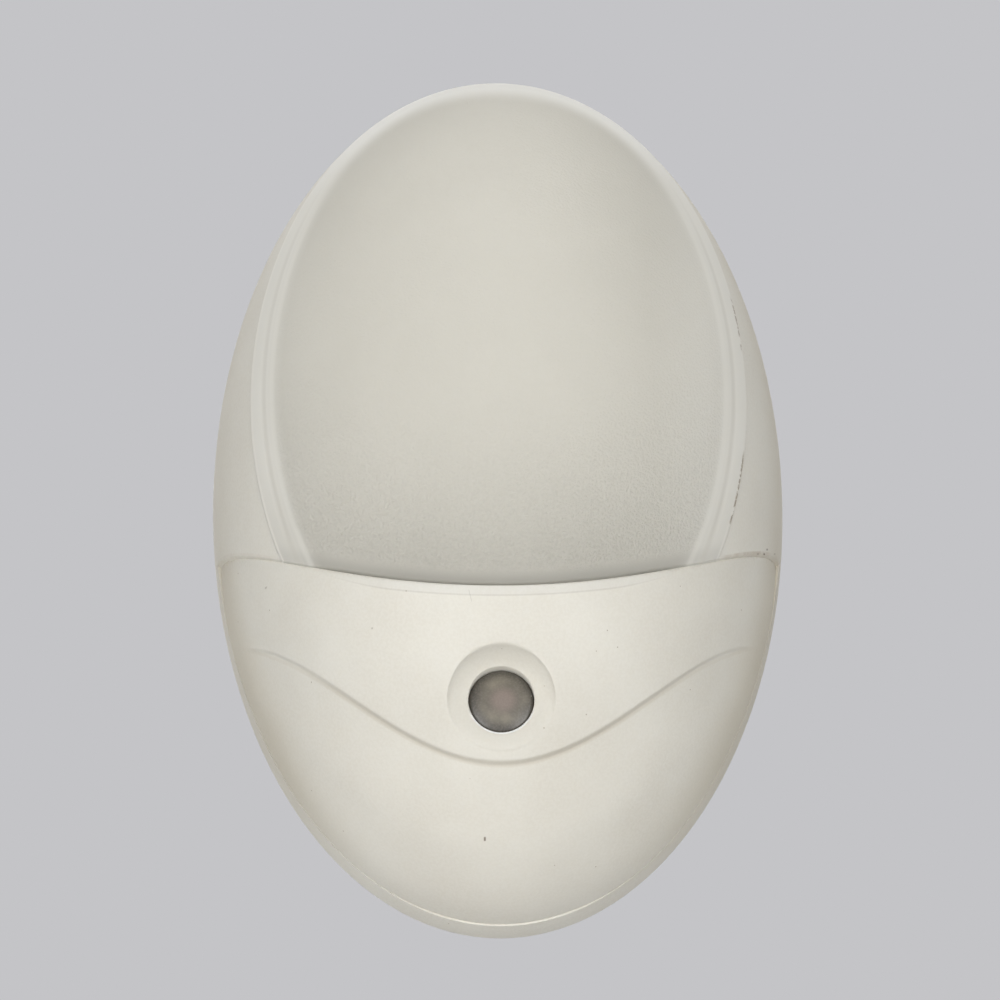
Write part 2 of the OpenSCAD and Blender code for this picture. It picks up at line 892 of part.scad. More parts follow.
module holder_screws() {
    color("#B4B6B8") for (p = EAR_SCREWS)
        small_screw(p, ear_y - ear_t);
}

module cover_screws() {
    y_head = back_y - sleeve_d + screw_web + big_head_h;
    color("#B4B6B8") for (p = COVER_SCREWS)
        screw(p[0], p[1], y_head, big_head_r, big_head_h, big_shank_r, big_screw_l, -1);
}

rear_housing();
front_cover();
lens();
sensor_window();
photocell();
circuit_board();
insulating_sheet();
triac();
capacitor();
diode();
resistors();
solder_joints();
light_baffle();
lamp_holder();
holder_shell();
centre_contact();
live_wire();
neutral_wire();
lamp_base();
lamp_insulator();
lamp_tip();
lamp_glass();
lamp_stem();
support_wires();
filament();
line_blade();
neutral_blade();
blade_clamp();
clamp_screws();
board_screws();
holder_screws();
cover_screws();
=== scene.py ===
"""Looks of the plug-in night light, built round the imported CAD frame.

Lengths in this file are millimetres, in the frame of the CAD part: +Z up, front towards -Y, wall
plane at Y = 0. A mesh is made metres when it becomes an object.
"""

import math

import bmesh
import bpy
import numpy as np
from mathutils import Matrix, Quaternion, Vector, geometry, kdtree


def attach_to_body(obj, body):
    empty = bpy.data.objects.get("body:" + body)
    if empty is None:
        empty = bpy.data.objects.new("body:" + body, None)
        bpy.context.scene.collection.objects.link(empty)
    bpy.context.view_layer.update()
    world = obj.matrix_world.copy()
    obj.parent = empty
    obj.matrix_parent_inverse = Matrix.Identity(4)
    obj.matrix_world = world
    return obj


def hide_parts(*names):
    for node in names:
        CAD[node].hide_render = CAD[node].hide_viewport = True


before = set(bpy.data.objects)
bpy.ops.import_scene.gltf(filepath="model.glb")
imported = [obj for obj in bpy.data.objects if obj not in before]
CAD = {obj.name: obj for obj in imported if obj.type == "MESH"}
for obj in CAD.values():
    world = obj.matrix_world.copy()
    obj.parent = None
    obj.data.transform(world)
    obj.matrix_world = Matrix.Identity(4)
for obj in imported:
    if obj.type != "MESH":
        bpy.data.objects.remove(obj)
bpy.context.view_layer.update()

MM = 0.001

# the housing's ellipsoid and its seams, as in the CAD part
SEMI = np.array([32.0, 34.0, 50.0])
WALL_T = 2.2
RIM_Y = -3.6
COVER_INSET = 0.3
SEAM_R = 48.0
SEAM_Z = 29.1
SEAM_GAP = 0.03

# the lens
LENS_HALF_W = 27.7
LENS_HALF_H = 41.5
LENS_Z = 7.5
LENS_GAP = 0.01
LENS_T = 1.8
LENS_SEAT_Y = -4.9
SKIRT_INSET = 1.4
SKIRT_T = 1.3
SKIRT_D = 4.5

# the sensor's dish, bore and window
SENSOR_Z = -30.1
HOLE_R = 3.67
HOLE_Y = -24.8
HOLE_SLOPE = math.tan(math.radians(9))
DISH_RIM_Z = -30.38
DISH_RIM_W = 6.0
DISH_RIM_H = 5.38
BORE_R = 4.65
BOSS_R = 6.27
WINDOW_FACE_Y = -24.15
WINDOW_STEP_Y = -22.3
WINDOW_BACK_Y = -21.1

# the lamp
LAMP_Y = -14.5
THREAD_PITCH = 2.54

# the direction that the photograph was taken from, below the level
VIEW_RISE = -19.0
VIEW_COS = math.cos(math.radians(VIEW_RISE))
VIEW_SIN = math.sin(math.radians(VIEW_RISE))


# ---- the dome

def stack(x, y, z):
    """Points from their coordinates; a single number stands for all of them."""
    return np.stack(np.broadcast_arrays(x, y, z), axis=1).astype(float)


def circle(steps):
    """Cosines and sines of the steps of a full turn."""
    t = np.linspace(0, 2 * math.pi, steps, endpoint=False)
    return np.cos(t), np.sin(t)


def unit(vectors):
    return vectors / np.linalg.norm(vectors, axis=1, keepdims=True)


def smooth_step(low, high, value):
    t = np.clip((value - low) / (high - low), 0, 1)
    return t * t * (3 - 2 * t)


def semi(inset):
    """Half sizes of the ellipsoid that lies inset inside the housing's outline."""
    return SEMI - inset


def dome_y(x, z, inset):
    """Depth of that ellipsoid at a point of the front view."""
    a, b, c = semi(inset)
    return -b * np.sqrt(np.maximum(0, 1 - (x / a) ** 2 - (z / c) ** 2))


def on_dome(x, z, inset):
    """The ellipsoid's points at places of the front view."""
    return stack(x, dome_y(x, z, inset), z)


def directions(points, inset):
    """Unit directions of points near an ellipsoid, with the ellipsoid made a sphere."""
    return unit(points / semi(inset))


def flatten(points, inset):
    """Points near the dome laid out flat round its foremost point, without folds."""
    d = directions(points, inset)
    angle = np.arccos(np.clip(-d[:, 1], -1, 1))
    stretch = np.where(angle > 1e-6, angle / np.maximum(np.sin(angle), 1e-9), 1)
    return d[:, [0, 2]] * stretch[:, None]


def unflatten(flat, inset):
    """The dome's points that lie at places of that flat layout."""
    angle = np.hypot(flat[:, 0], flat[:, 1])
    squeeze = np.where(angle > 1e-6, np.sin(angle) / np.maximum(angle, 1e-9), 1)
    return stack(flat[:, 0] * squeeze, -np.cos(angle), flat[:, 1] * squeeze) * semi(inset)


def outward(points, inset):
    """Unit normals of the dome at its points."""
    return unit(points / semi(inset) ** 2)


def sunk(points, inset, depth):
    """Points moved inwards from the dome by a depth for each."""
    return points - outward(points, inset) * depth[:, None]


# ---- outlines

SEAM_STEPS = 150
RIM_STEPS = 230
OVAL_STEPS = 330


def seam_and_oval(radius, oval, seam_steps, oval_steps, over):
    """x and z of a closed edge: along the seam's circle inside an oval, then back along the oval.

    oval is its half width, half height and the height of its middle; over is 1 to go back over
    the top and -1 to go back under the foot.
    """
    half_w, half_h, middle = oval
    low, high = 0.0, math.pi / 2
    for _ in range(50):
        mid = (low + high) / 2
        x, z = radius * math.sin(mid), SEAM_Z - radius * math.cos(mid)
        if (x / half_w) ** 2 + ((z - middle) / half_h) ** 2 < 1:
            low = mid
        else:
            high = mid
    t = np.linspace(-low, low, seam_steps, endpoint=False)
    seam = [radius * np.sin(t), SEAM_Z - radius * np.cos(t)]
    corner = math.atan2((SEAM_Z - radius * math.cos(low) - middle) / half_h,
                        radius * math.sin(low) / half_w)
    t = np.linspace(corner, over * math.pi - corner, oval_steps, endpoint=False)
    return np.concatenate([seam, [half_w * np.cos(t), middle + half_h * np.sin(t)]], axis=1)


def cover_outline(inset):
    """The front cover's edge: along the seam from left to right, then back along the rim."""
    a, b, c = semi(inset)
    shrink = math.sqrt(1 - (RIM_Y / b) ** 2)
    oval = (a * shrink, c * shrink, 0)
    edge = on_dome(*seam_and_oval(SEAM_R + SEAM_GAP, oval, SEAM_STEPS, RIM_STEPS, -1), inset)
    edge[SEAM_STEPS:, 1] = RIM_Y
    return edge


def lens_outline(inset, draw_in=0.0, seam_steps=SEAM_STEPS, oval_steps=OVAL_STEPS):
    """The lens's edge: along the seam from left to right, then over the top along the oval."""
    less = LENS_GAP + draw_in
    oval = (LENS_HALF_W - less, LENS_HALF_H - less, LENS_Z)
    edge = on_dome(*seam_and_oval(SEAM_R - less, oval, seam_steps, oval_steps, 1), inset)
    edge[:, 1] = np.minimum(edge[:, 1], LENS_SEAT_Y)
    return edge


# ---- meshes

class Solid:
    """Vertices and faces gathered into one mesh, with optional numbers for each vertex."""

    def __init__(self):
        self.points = []
        self.count = 0
        self.faces = []
        self.marks = {}

    def add(self, points, **marks):
        """Adds points and returns the index of each."""
        points = np.asarray(points, float)
        first = self.count
        self.points.append(points)
        self.count += len(points)
        for name, values in marks.items():
            self.marks.setdefault(name, []).append((first, np.broadcast_to(values, len(points))))
        return np.arange(first, self.count)

    def strips(self, rings):
        """Quads between closed rows of as many points each."""
        for ring_a, ring_b in zip(rings, rings[1:]):
            corners = [ring_a, np.roll(ring_a, -1), np.roll(ring_b, -1), ring_b]
            self.faces += np.stack(corners, axis=1).tolist()

    def fan(self, ring):
        """Closes a ring of points with one face."""
        self.faces.append([int(i) for i in ring])

    def tube(self, rings):
        """Strips between rows, and a face over the first and the last row."""
        self.strips(rings)
        self.fan(rings[0])
        self.fan(rings[-1])

    def object(self, name, material, smooth_angle=35):
        """The mesh as an object in metres, with normals that point out."""
        mesh = bpy.data.meshes.new(name)
        points = np.concatenate(self.points) * MM
        mesh.from_pydata(points.tolist(), [], self.faces)
        for mark, parts in self.marks.items():
            values = np.zeros(self.count, np.float32)
            for first, part in parts:
                values[first:first + len(part)] = part
            layer = mesh.attributes.new(mark, "FLOAT", "POINT")
            layer.data.foreach_set("value", values)
        work = bmesh.new()
        work.from_mesh(mesh)
        bmesh.ops.recalc_face_normals(work, faces=work.faces)
        work.to_mesh(mesh)
        work.free()
        shade_smooth(mesh, smooth_angle)
        mesh.materials.append(material)
        return linked(name, mesh)


def shade_smooth(mesh, angle):
    """Smooth shading, but for edges sharper than an angle in degrees."""
    mesh.polygons.foreach_set("use_smooth", [True] * len(mesh.polygons))
    mesh.set_sharp_from_angle(angle=math.radians(angle))


def linked(name, data):
    """An object in the scene that shows the data."""
    made = bpy.data.objects.new(name, data)
    bpy.context.scene.collection.objects.link(made)
    return made


def attach(made, body, slot, *nodes):
    """Makes a piece ride on a body in place of CAD nodes."""
    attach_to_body(made, body)
    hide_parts(*nodes)


def inside(flat, loops):
    """Which flat points lie inside an odd number of closed loops."""
    found = np.zeros(len(flat), bool)
    x, y = flat.T
    for loop in loops:
        for (x0, y0), (x1, y1) in zip(loop, np.roll(loop, -1, axis=0)):
            if y0 == y1:
                continue
            crosses = (y0 > y) != (y1 > y)
            found ^= crosses & (x < (x1 - x0) * (y - y0) / (y1 - y0) + x0)
    return found


def tree_of(points):
    tree = kdtree.KDTree(len(points))
    for i, p in enumerate(points):
        tree.insert(p, i)
    tree.balance()
    return tree


def distances(points, tree):
    return np.array([tree.find(p)[2] for p in points])


def densify(loop, times):
    """A closed loop with more points on its straight steps."""
    after = np.roll(loop, -1, axis=0)
    return np.concatenate([loop + (after - loop) * k / times for k in range(times)])


def offset_rows(loop, steps, inset, towards):
    """Rows of points on the dome beside a closed loop, at steps' distances from it."""
    along = np.roll(loop, -1, axis=0) - np.roll(loop, 1, axis=0)
    across = unit(np.cross(outward(loop, inset), along))
    if np.sum(across * (towards - loop)) < 0:
        across = -across
    return [directions(loop + across * d, inset) * semi(inset) for d in steps]


def hex_grid(flat_loop, spacing):
    """A triangular grid over a flat loop's box."""
    low, high = flat_loop.min(0), flat_loop.max(0)
    rows = np.arange(low[1], high[1], spacing * math.sqrt(3) / 2)
    columns = np.arange(low[0], high[0], spacing)
    x, y = np.meshgrid(columns, rows)
    x = x + (np.arange(len(rows)) % 2)[:, None] * spacing / 2
    return np.stack([x.ravel(), y.ravel()], axis=1)


def triangles(flat, loops):
    """Triangles over flat points between closed loops; a loop is a list of point indices."""
    edges = [(int(a), int(b)) for loop in loops for a, b in zip(loop, np.roll(loop, -1))]
    verts = [Vector((float(x), float(y))) for x, y in flat]
    out = geometry.delaunay_2d_cdt(verts, edges, [], 0, 1e-9)
    source = [ids[0] for ids in out[3]]
    faces = np.array([[source[i] for i in face] for face in out[2] if len(face) == 3])
    centres = flat[faces].mean(axis=1)
    return faces[inside(centres, [flat[loop] for loop in loops])]


# how near a grid point may come to a row, in spacings
CROWDING = 0.6


def dome_patch(solid, inset, spacing, loops, extra, shape, keep_off, marks):
    """A piece of dome between loops, meshed with a fine grid.

    loops holds the outer row of points and then those round the holes, extra further points with
    their final places; shape moves the grid's points from the plain dome to their final places,
    keep_off tells which grid points would crowd the rows, and marks gives numbers for all points.
    """
    placed = np.concatenate(loops + extra)
    grid = hex_grid(flatten(loops[0], inset), spacing / semi(inset).mean())
    grid = grid[inside(grid, [flatten(loop, inset) for loop in loops])]
    grid_points = unflatten(grid, inset)
    near = distances(grid_points, tree_of(placed)) < spacing * CROWDING
    grid_points = grid_points[~near & ~keep_off(grid_points)]
    plain = np.concatenate([placed, grid_points])
    final = np.concatenate([placed, shape(grid_points)])
    indices = solid.add(final, **marks(plain))
    ends = np.cumsum([len(loop) for loop in loops])
    loop_ids = [np.arange(end - len(loop), end) for end, loop in zip(ends, loops)]
    solid.faces += indices[triangles(flatten(plain, inset), loop_ids)].tolist()
    return [indices[ids] for ids in loop_ids]


# ---- front cover

# points of a row that a corner brings nearer to the edge than this share of the row's distance
# are left out
COVER_ROW_SHARE = 0.97
LENS_ROW_SHARE = 0.96

COVER_GRID = 0.72
COVER_INNER_GRID = 1.6
FAR_MARKS = {"seam_mm": 9, "crease_mm": 9}

CREASE_FOOT = -36.9
CREASE_RISE = 24.2
CREASE_SPAN = 42.6
CREASE_STEP = 0.55
CREASE_HALF_W = 0.5
CREASE_REACH = 13
CREASE_FADE = (26, 30)
CREASE_END_X = 28.5
CREASE_POINTS = 191
CREASE_ROWS = [-0.9, -0.65, -0.5, -0.38, -0.26, -0.13, 0, 0.13, 0.26, 0.38, 0.5, 0.65, 0.9, 1.3]
ROW_CLEAR = 0.3

FLUSH = 0.26
FLUSH_AT_FOOT = 0.45
FLUSH_BESIDE = (5, 16)
FLUSH_HEIGHTS = (-14, -7)
FLUSH_DEPTHS = (-13, -6)
LIP_W = 1.05
LIP_DROP = 0.16
LIP_LOSS = 0.85
LIP_ENDS = (12, 25)
EDGE_R = 0.13
EDGE_ROWS = [0.03, 0.08, 0.14, 0.22, 0.34, 0.48]
LIP_ROWS = [0.62, 0.76, 0.88, 0.98, 1.08, 1.2, 1.4]
EDGE_CLEAR = 0.6
COVER_MIDDLE = np.array([0, -25, -32.0])

DISH_STEPS = 128
HOLE_EDGE = [(0, 0.14), (0.04, 0.05), (0.14, 0)]
DISH_SHARES = [0.08, 0.17, 0.27, 0.38, 0.5, 0.62, 0.73, 0.83, 0.91, 0.96]
DISH_STRAIGHT = 0.42
DISH_RIM_ROWS = [(0.0, 0.10), (0.07, 0.055), (0.16, 0.02), (0.3, 0.0)]
DISH_RIM_LEVEL = 0.5
DISH_CLEAR = 0.4

COVER_SCREWS = [(-20.5, -25.0), (20.5, -25.0), (0.0, -43.0)]
BOSS_STEPS = 32
BOSS_END_Y = -5.0
BOSS_ROOT = 0.3
BOSS_SCREW_R = 3.1
PILOT_R = 1.3
PILOT_END_Y = -12.5


def crease_z(x):
    """Height of the styling crease's middle: a wave with its foot under the sensor."""
    return CREASE_FOOT + CREASE_RISE * (1 - np.cos(math.pi * x / CREASE_SPAN)) / 2


def crease_slope(x):
    return CREASE_RISE * math.pi / (2 * CREASE_SPAN) * np.sin(math.pi * x / CREASE_SPAN)


def below_crease(x, z):
    """Distance below the styling crease, measured over the sloping surface."""
    a, b, c = semi(COVER_INSET)
    slope, depth = crease_slope(x), np.minimum(dome_y(x, z, COVER_INSET), -1)
    length = np.sqrt(1 + slope * slope)
    climb = b * b / depth * (x / a ** 2 * slope - z / c ** 2) / length
    return (crease_z(x) - z) / length * np.sqrt(1 + climb * climb)


def crease_depth(points):
    """How far the surface under the crease is set back."""
    x, _, z = points.T
    s = below_crease(x, z)
    step = smooth_step(-CREASE_HALF_W, CREASE_HALF_W, s)
    step = step * (1 - smooth_step(CREASE_HALF_W, CREASE_REACH, s))
    return CREASE_STEP * (1 - smooth_step(*CREASE_FADE, np.abs(x))) * step


def edge_drop(distance, radius):
    """How far a rounded edge falls back at a distance from the edge."""
    reach = np.clip(radius - distance, 0, radius)
    return radius - np.sqrt(radius * radius - reach * reach)


def seam_distance(points):
    """Distance below the seam in the front view."""
    return np.hypot(points[:, 0], points[:, 2] - SEAM_Z) - SEAM_R - SEAM_GAP


def lip_width(points):
    """Width of the bevel along the cover's top edge: widest at the middle, least at the ends."""
    return LIP_W * (1 - smooth_step(*LIP_ENDS, np.abs(points[:, 0])) * LIP_LOSS)


def lip_depth(points):
    """The bevel along the cover's top edge."""
    width = lip_width(points)
    return LIP_DROP * np.clip(1 - seam_distance(points) / width, 0, 1) * width / LIP_W


def flush_rise(points):
    """How far the cover swells to meet the housing's rim: less at its lowest point."""
    x, y, z = points.T
    beside = FLUSH_AT_FOOT + (1 - FLUSH_AT_FOOT) * smooth_step(*FLUSH_BESIDE, np.abs(x))
    low = 1 - smooth_step(*FLUSH_HEIGHTS, z)
    return FLUSH * beside * low * smooth_step(*FLUSH_DEPTHS, y)


def shape_cover(points):
    """The dome's points moved to the cover's outer surface."""
    return sunk(points, COVER_INSET, crease_depth(points) + lip_depth(points) - flush_rise(points))


def dish_rings():
    """Rings from the sensor's hole up the dish and over its rim, on the cover's surface."""
    cos, sin = circle(DISH_STEPS)

    def hole(out, deeper):
        height = (HOLE_R + out) * sin
        return stack((HOLE_R + out) * cos, HOLE_Y - HOLE_SLOPE * height + deeper, SENSOR_Z + height)

    rings = [hole(out, deeper) for out, deeper in HOLE_EDGE]
    floor = rings[-1]
    rim = on_dome(DISH_RIM_W * cos, DISH_RIM_Z + DISH_RIM_H * sin, COVER_INSET)
    for share in DISH_SHARES:
        lift = DISH_STRAIGHT * share + (1 - DISH_STRAIGHT) * (1 - math.sqrt(1 - share * share))
        rings.append(floor + (rim - floor) * [share, lift, share])
    away = unit((rim - [0, 0, DISH_RIM_Z]) * [1, 0, 1])
    fall = outward(rim, COVER_INSET) * (DISH_RIM_LEVEL + (1 - DISH_RIM_LEVEL) * sin)[:, None]
    for out, drop in DISH_RIM_ROWS:
        x, _, z = (rim + out * away).T
        rings.append(on_dome(x, z, COVER_INSET) - fall * drop)
    return rings


def crease_rows():
    """Rows of points along the crease, close enough to show its soft step."""
    x = np.linspace(-CREASE_END_X, CREASE_END_X, CREASE_POINTS)
    slope = crease_slope(x)
    length = np.sqrt(1 + slope * slope)
    run = below_crease(x, crease_z(x) - length)
    return [
        on_dome(x + s / run * slope / length, crease_z(x) - s / run / length, COVER_INSET)
        for s in CREASE_ROWS
    ]


def cover_edge_rows(edge, dense):
    """The cover's edge and the rows beside it, with the edge rounded over."""
    beside = offset_rows(edge, EDGE_ROWS, COVER_INSET, COVER_MIDDLE)
    out = []
    for step, row in zip([0] + EDGE_ROWS, [edge] + beside):
        away = distances(row, dense)
        inward = edge_drop(away, EDGE_R) + lip_depth(row) - flush_rise(row)
        out.append(sunk(row, COVER_INSET, inward)[away >= step * COVER_ROW_SHARE])
    for row in offset_rows(edge, LIP_ROWS, COVER_INSET, COVER_MIDDLE):
        on_lip = (seam_distance(row) < 2) & (np.abs(row[:, 0]) < LIP_ENDS[1])
        out.append(shape_cover(row[on_lip & (distances(row, dense) > EDGE_ROWS[-1] + 0.1)]))
    return out


def crowded(points):
    """Which points lie in the dish or among the crease's rows."""
    x, _, z = points.T
    s = below_crease(x, z)
    in_dish = np.hypot(x / (DISH_RIM_W + DISH_CLEAR), (z - DISH_RIM_Z) / (DISH_RIM_H + DISH_CLEAR)) < 1
    beside = (s > CREASE_ROWS[0] - ROW_CLEAR) & (s < CREASE_ROWS[-1] + ROW_CLEAR)
    return in_dish | (beside & (np.abs(x) < CREASE_END_X + 0.2))


def cover_marks(points):
    """Distances from the seam, stretched where the bevel is narrow, and from the crease."""
    return {"seam_mm": seam_distance(points) * LIP_W / lip_width(points),
            "crease_mm": below_crease(points[:, 0], points[:, 2])}


def screw_boss(solid, x, z, inner):
    """A round post from the wall inside the dome down to the housing, with a blind screw hole."""
    cos, sin = circle(BOSS_STEPS)

    def ring(radius, y):
        return solid.add(stack(x + radius * cos, y, z + radius * sin), **FAR_MARKS)

    root_y = dome_y(x + BOSS_SCREW_R * cos, z + BOSS_SCREW_R * sin, inner) - BOSS_ROOT
    solid.tube([ring(BOSS_SCREW_R, root_y), ring(BOSS_SCREW_R, BOSS_END_Y), ring(PILOT_R, BOSS_END_Y),
                ring(PILOT_R, PILOT_END_Y)])


def front_cover(material):
    """The lower dome with its soft crease, the bevelled top edge, the dish and the bosses."""
    solid = Solid()
    edge = cover_outline(COVER_INSET)
    dense = tree_of(densify(edge, 4))
    edge_rows = cover_edge_rows(edge, dense)
    dish = dish_rings()
    crease = [shape_cover(row) for row in crease_rows()]
    crease = [row[distances(row, dense) > EDGE_CLEAR] for row in crease]
    outer = dome_patch(
        solid, COVER_INSET, COVER_GRID, [edge_rows[0], dish[0]], edge_rows[1:] + dish[1:] + crease,
        shape_cover, crowded, cover_marks)
    inset = COVER_INSET + WALL_T
    cos, sin = circle(DISH_STEPS)
    foot = on_dome(BOSS_R * cos, SENSOR_Z + BOSS_R * sin, inset)
    inner = dome_patch(
        solid, inset, COVER_INNER_GRID, [cover_outline(inset), foot], [], lambda p: p,
        lambda p: np.hypot(p[:, 0], p[:, 2] - SENSOR_Z) < BOSS_R + COVER_INNER_GRID / 2,
        cover_marks)
    solid.strips([outer[0], inner[0]])
    bore = [(HOLE_R, WINDOW_STEP_Y), (BORE_R, WINDOW_STEP_Y), (BORE_R, WINDOW_BACK_Y),
            (BOSS_R, WINDOW_BACK_Y)]
    rings = [solid.add(stack(r * cos, y, SENSOR_Z + r * sin), **FAR_MARKS) for r, y in bore]
    solid.strips([outer[1]] + rings + [inner[1]])
    for x, z in COVER_SCREWS:
        screw_boss(solid, x, z, inset)
    attach(solid.object("front_cover_moulding", material), "housing", "cover_plastic", "front_cover")


# ---- lens

LENS_GRID = 0.8
LENS_INNER_GRID = 1.8
LENS_EDGE_R = 0.14
LENS_FOOT_R = 0.4
LENS_PROUD = 0.12
LENS_ROWS = [0.03, 0.07, 0.13, 0.21, 0.3, 0.5, 0.75, 1.0, 1.25, 1.45, 1.6, 1.8, 2.1, 2.3, 2.5, 2.7,
             3.0, 3.4]
LENS_MIDDLE = np.array([0, -30, 10.0])
BORDER_WIDENS = 0.4
SKIRT_STEPS = (100, 220)
# centre, half width and height of the soft lines inside the lens's edge
BORDER_GROOVE = (1.45, 0.2, 0.045)
BORDER_RIDGE = (2.5, 0.3, 0.03)


def lens_marks(points):
    """Distances from the lens's oval edge and from its foot along the seam."""
    x, _, z = points.T
    w, h = LENS_HALF_W - LENS_GAP, LENS_HALF_H - LENS_GAP
    level = np.hypot(x / w, (z - LENS_Z) / h)
    slope = np.hypot(x / w ** 2, (z - LENS_Z) / h ** 2) / np.maximum(level, 1e-6)
    side = (1 - level) / np.maximum(slope, 1e-6)
    foot = SEAM_R - LENS_GAP - np.hypot(x, z - SEAM_Z)
    over_top = (1 - smooth_step(0, 20, np.abs(x))) * smooth_step(20, 35, z)
    return {"side_mm": side, "foot_mm": foot, "border_mm": side * (1 - BORDER_WIDENS * over_top)}


def bump(distance, centre, width, height):
    return height * np.exp(-((distance - centre) / width) ** 2)


def lens_depth(points):
    """How far the lens's surface lies behind the dome: proud, with rounded edges and a border."""
    side, foot, border = lens_marks(points).values()
    lines = bump(border, *BORDER_GROOVE) - bump(border, *BORDER_RIDGE)
    lines = lines * smooth_step(1, 3, foot) * (1 - smooth_step(24, 40, points[:, 2]))
    edges = edge_drop(np.clip(side, 0, 9), LENS_EDGE_R)
    edges += edge_drop(np.clip(foot, 0, 9), LENS_FOOT_R) * smooth_step(1.5, 5, side)
    return edges + lines - LENS_PROUD


def shape_lens(points):
    return sunk(points, 0, lens_depth(points))


def shape_lens_inside(points):
    """The wall inside the lens, which ends on the housing's step."""
    return stack(points[:, 0], np.minimum(points[:, 1], LENS_SEAT_Y), points[:, 2])


def lens_skirt(solid):
    """The locating skirt, a closed band behind the lens."""
    outside, within = SKIRT_INSET, SKIRT_INSET + SKIRT_T
    rings = []
    for draw_in, back in ((outside, 0), (outside, SKIRT_D), (within, SKIRT_D), (within, 0)):
        ring = lens_outline(LENS_T / 2, draw_in, *SKIRT_STEPS)
        ring[:, 1] = np.minimum(ring[:, 1] + back, LENS_SEAT_Y)
        rings.append(solid.add(ring, side_mm=9, foot_mm=9, border_mm=9))
    solid.strips(rings + [rings[0]])


def lens(material):
    """The frosted lens with its border and the locating skirt behind it."""
    solid = Solid()
    edge = lens_outline(0)
    dense = tree_of(densify(edge, 3))
    rows = [
        shape_lens(row[distances(row, dense) > step * LENS_ROW_SHARE])
        for row, step in zip(offset_rows(edge, LENS_ROWS, 0, LENS_MIDDLE), LENS_ROWS)
    ]
    outer = dome_patch(
        solid, 0, LENS_GRID, [shape_lens(edge)], rows, shape_lens,
        lambda p: distances(p, dense) < LENS_ROWS[-1] + ROW_CLEAR, lens_marks)
    inner = dome_patch(
        solid, LENS_T, LENS_INNER_GRID, [lens_outline(LENS_T)], [], shape_lens_inside,
        lambda p: np.zeros(len(p), bool), lens_marks)
    solid.strips([outer[0], inner[0]])
    lens_skirt(solid)
    attach(solid.object("lens_moulding", material), "lens", "lens_plastic", "lens")


# ---- sensor window

WINDOW_STEPS = 96
WINDOW_R = HOLE_R - 0.08
FLANGE_R = HOLE_R + 0.9
WINDOW_FACE = [(0.45, -0.30), (1.2, -0.27), (2.0, -0.19), (2.7, -0.08), (3.2, 0.04), (3.45, 0.13),
               (WINDOW_R - 0.05, 0.2), (WINDOW_R, 0.3)]


def window(material):
    """The smoky window: a slightly domed face in the hole, and its flange behind."""
    solid = Solid()
    cos, sin = circle(WINDOW_STEPS)
    profile = [(r, WINDOW_FACE_Y + y) for r, y in WINDOW_FACE]
    profile += [(WINDOW_R, WINDOW_STEP_Y), (FLANGE_R, WINDOW_STEP_Y), (FLANGE_R, WINDOW_BACK_Y)]
    solid.tube([solid.add(stack(r * cos, y, SENSOR_Z + r * sin)) for r, y in profile])
    made = solid.object("sensor_window_lens", material, 40)
    attach(made, "housing", "window_plastic", "sensor_window")


# ---- node trees

def operator(operation, reflected=False):
    """A method for one of Python's operators; a reflected one has its socket on the right."""
    def method(self, other):
        return self.math(operation, *((other, self) if reflected else (self, other)))
    return method


class Socket:
    """A node's output that Python's operators work on by adding Math nodes."""

    def __init__(self, owner, output):
        self.owner = owner
        self.output = output

    def math(self, operation, *values):
        """A Math node over the values, each a socket or a number."""
        return self.owner.add("ShaderNodeMath", {"operation": operation}, dict(enumerate(values)))

    __add__ = operator("ADD")
    __radd__ = operator("ADD", True)
    __sub__ = operator("SUBTRACT")
    __rsub__ = operator("SUBTRACT", True)
    __mul__ = operator("MULTIPLY")
    __rmul__ = operator("MULTIPLY", True)
    __truediv__ = operator("DIVIDE")
    __pow__ = operator("POWER")
    __lt__ = operator("LESS_THAN")

    def __abs__(self):
        return self.math("ABSOLUTE", self)


class Nodes:
    """A node tree in the making."""

    def __init__(self, tree):
        self.tree = tree

    def feed(self, socket, value):
        """Links or sets one input."""
        for one in value if isinstance(value, list) else [value]:
            if isinstance(one, Socket):
                self.tree.links.new(one.output, socket)
            elif socket.type == "RGBA":
                socket.default_value = (*one[:3], 1)
            else:
                socket.default_value = one

    def add(self, kind, settings=None, inputs=None, output=0):
        """Adds a node: its settings first, then the values or links of its sockets."""
        node = self.tree.nodes.new(kind)
        for name, value in (settings or {}).items():
            setattr(node, name, value)
        for name, value in (inputs or {}).items():
            self.feed(node.inputs[name], value)
        return Socket(self, node.outputs[output])

    def shown(self):
        """1 for the rays that show the background: seen, mirrored or through glass."""
        kinds = ("Is Camera Ray", "Is Glossy Ray", "Is Transmission Ray")
        camera, mirrored, through = (self.add("ShaderNodeLightPath", output=kind) for kind in kinds)
        return camera.math("MAXIMUM", camera, mirrored.math("MAXIMUM", mirrored, through))


# a cell's width in specks, and a speck's radius in cells
SPECK_CELL = 9
SPECK_R = 0.07


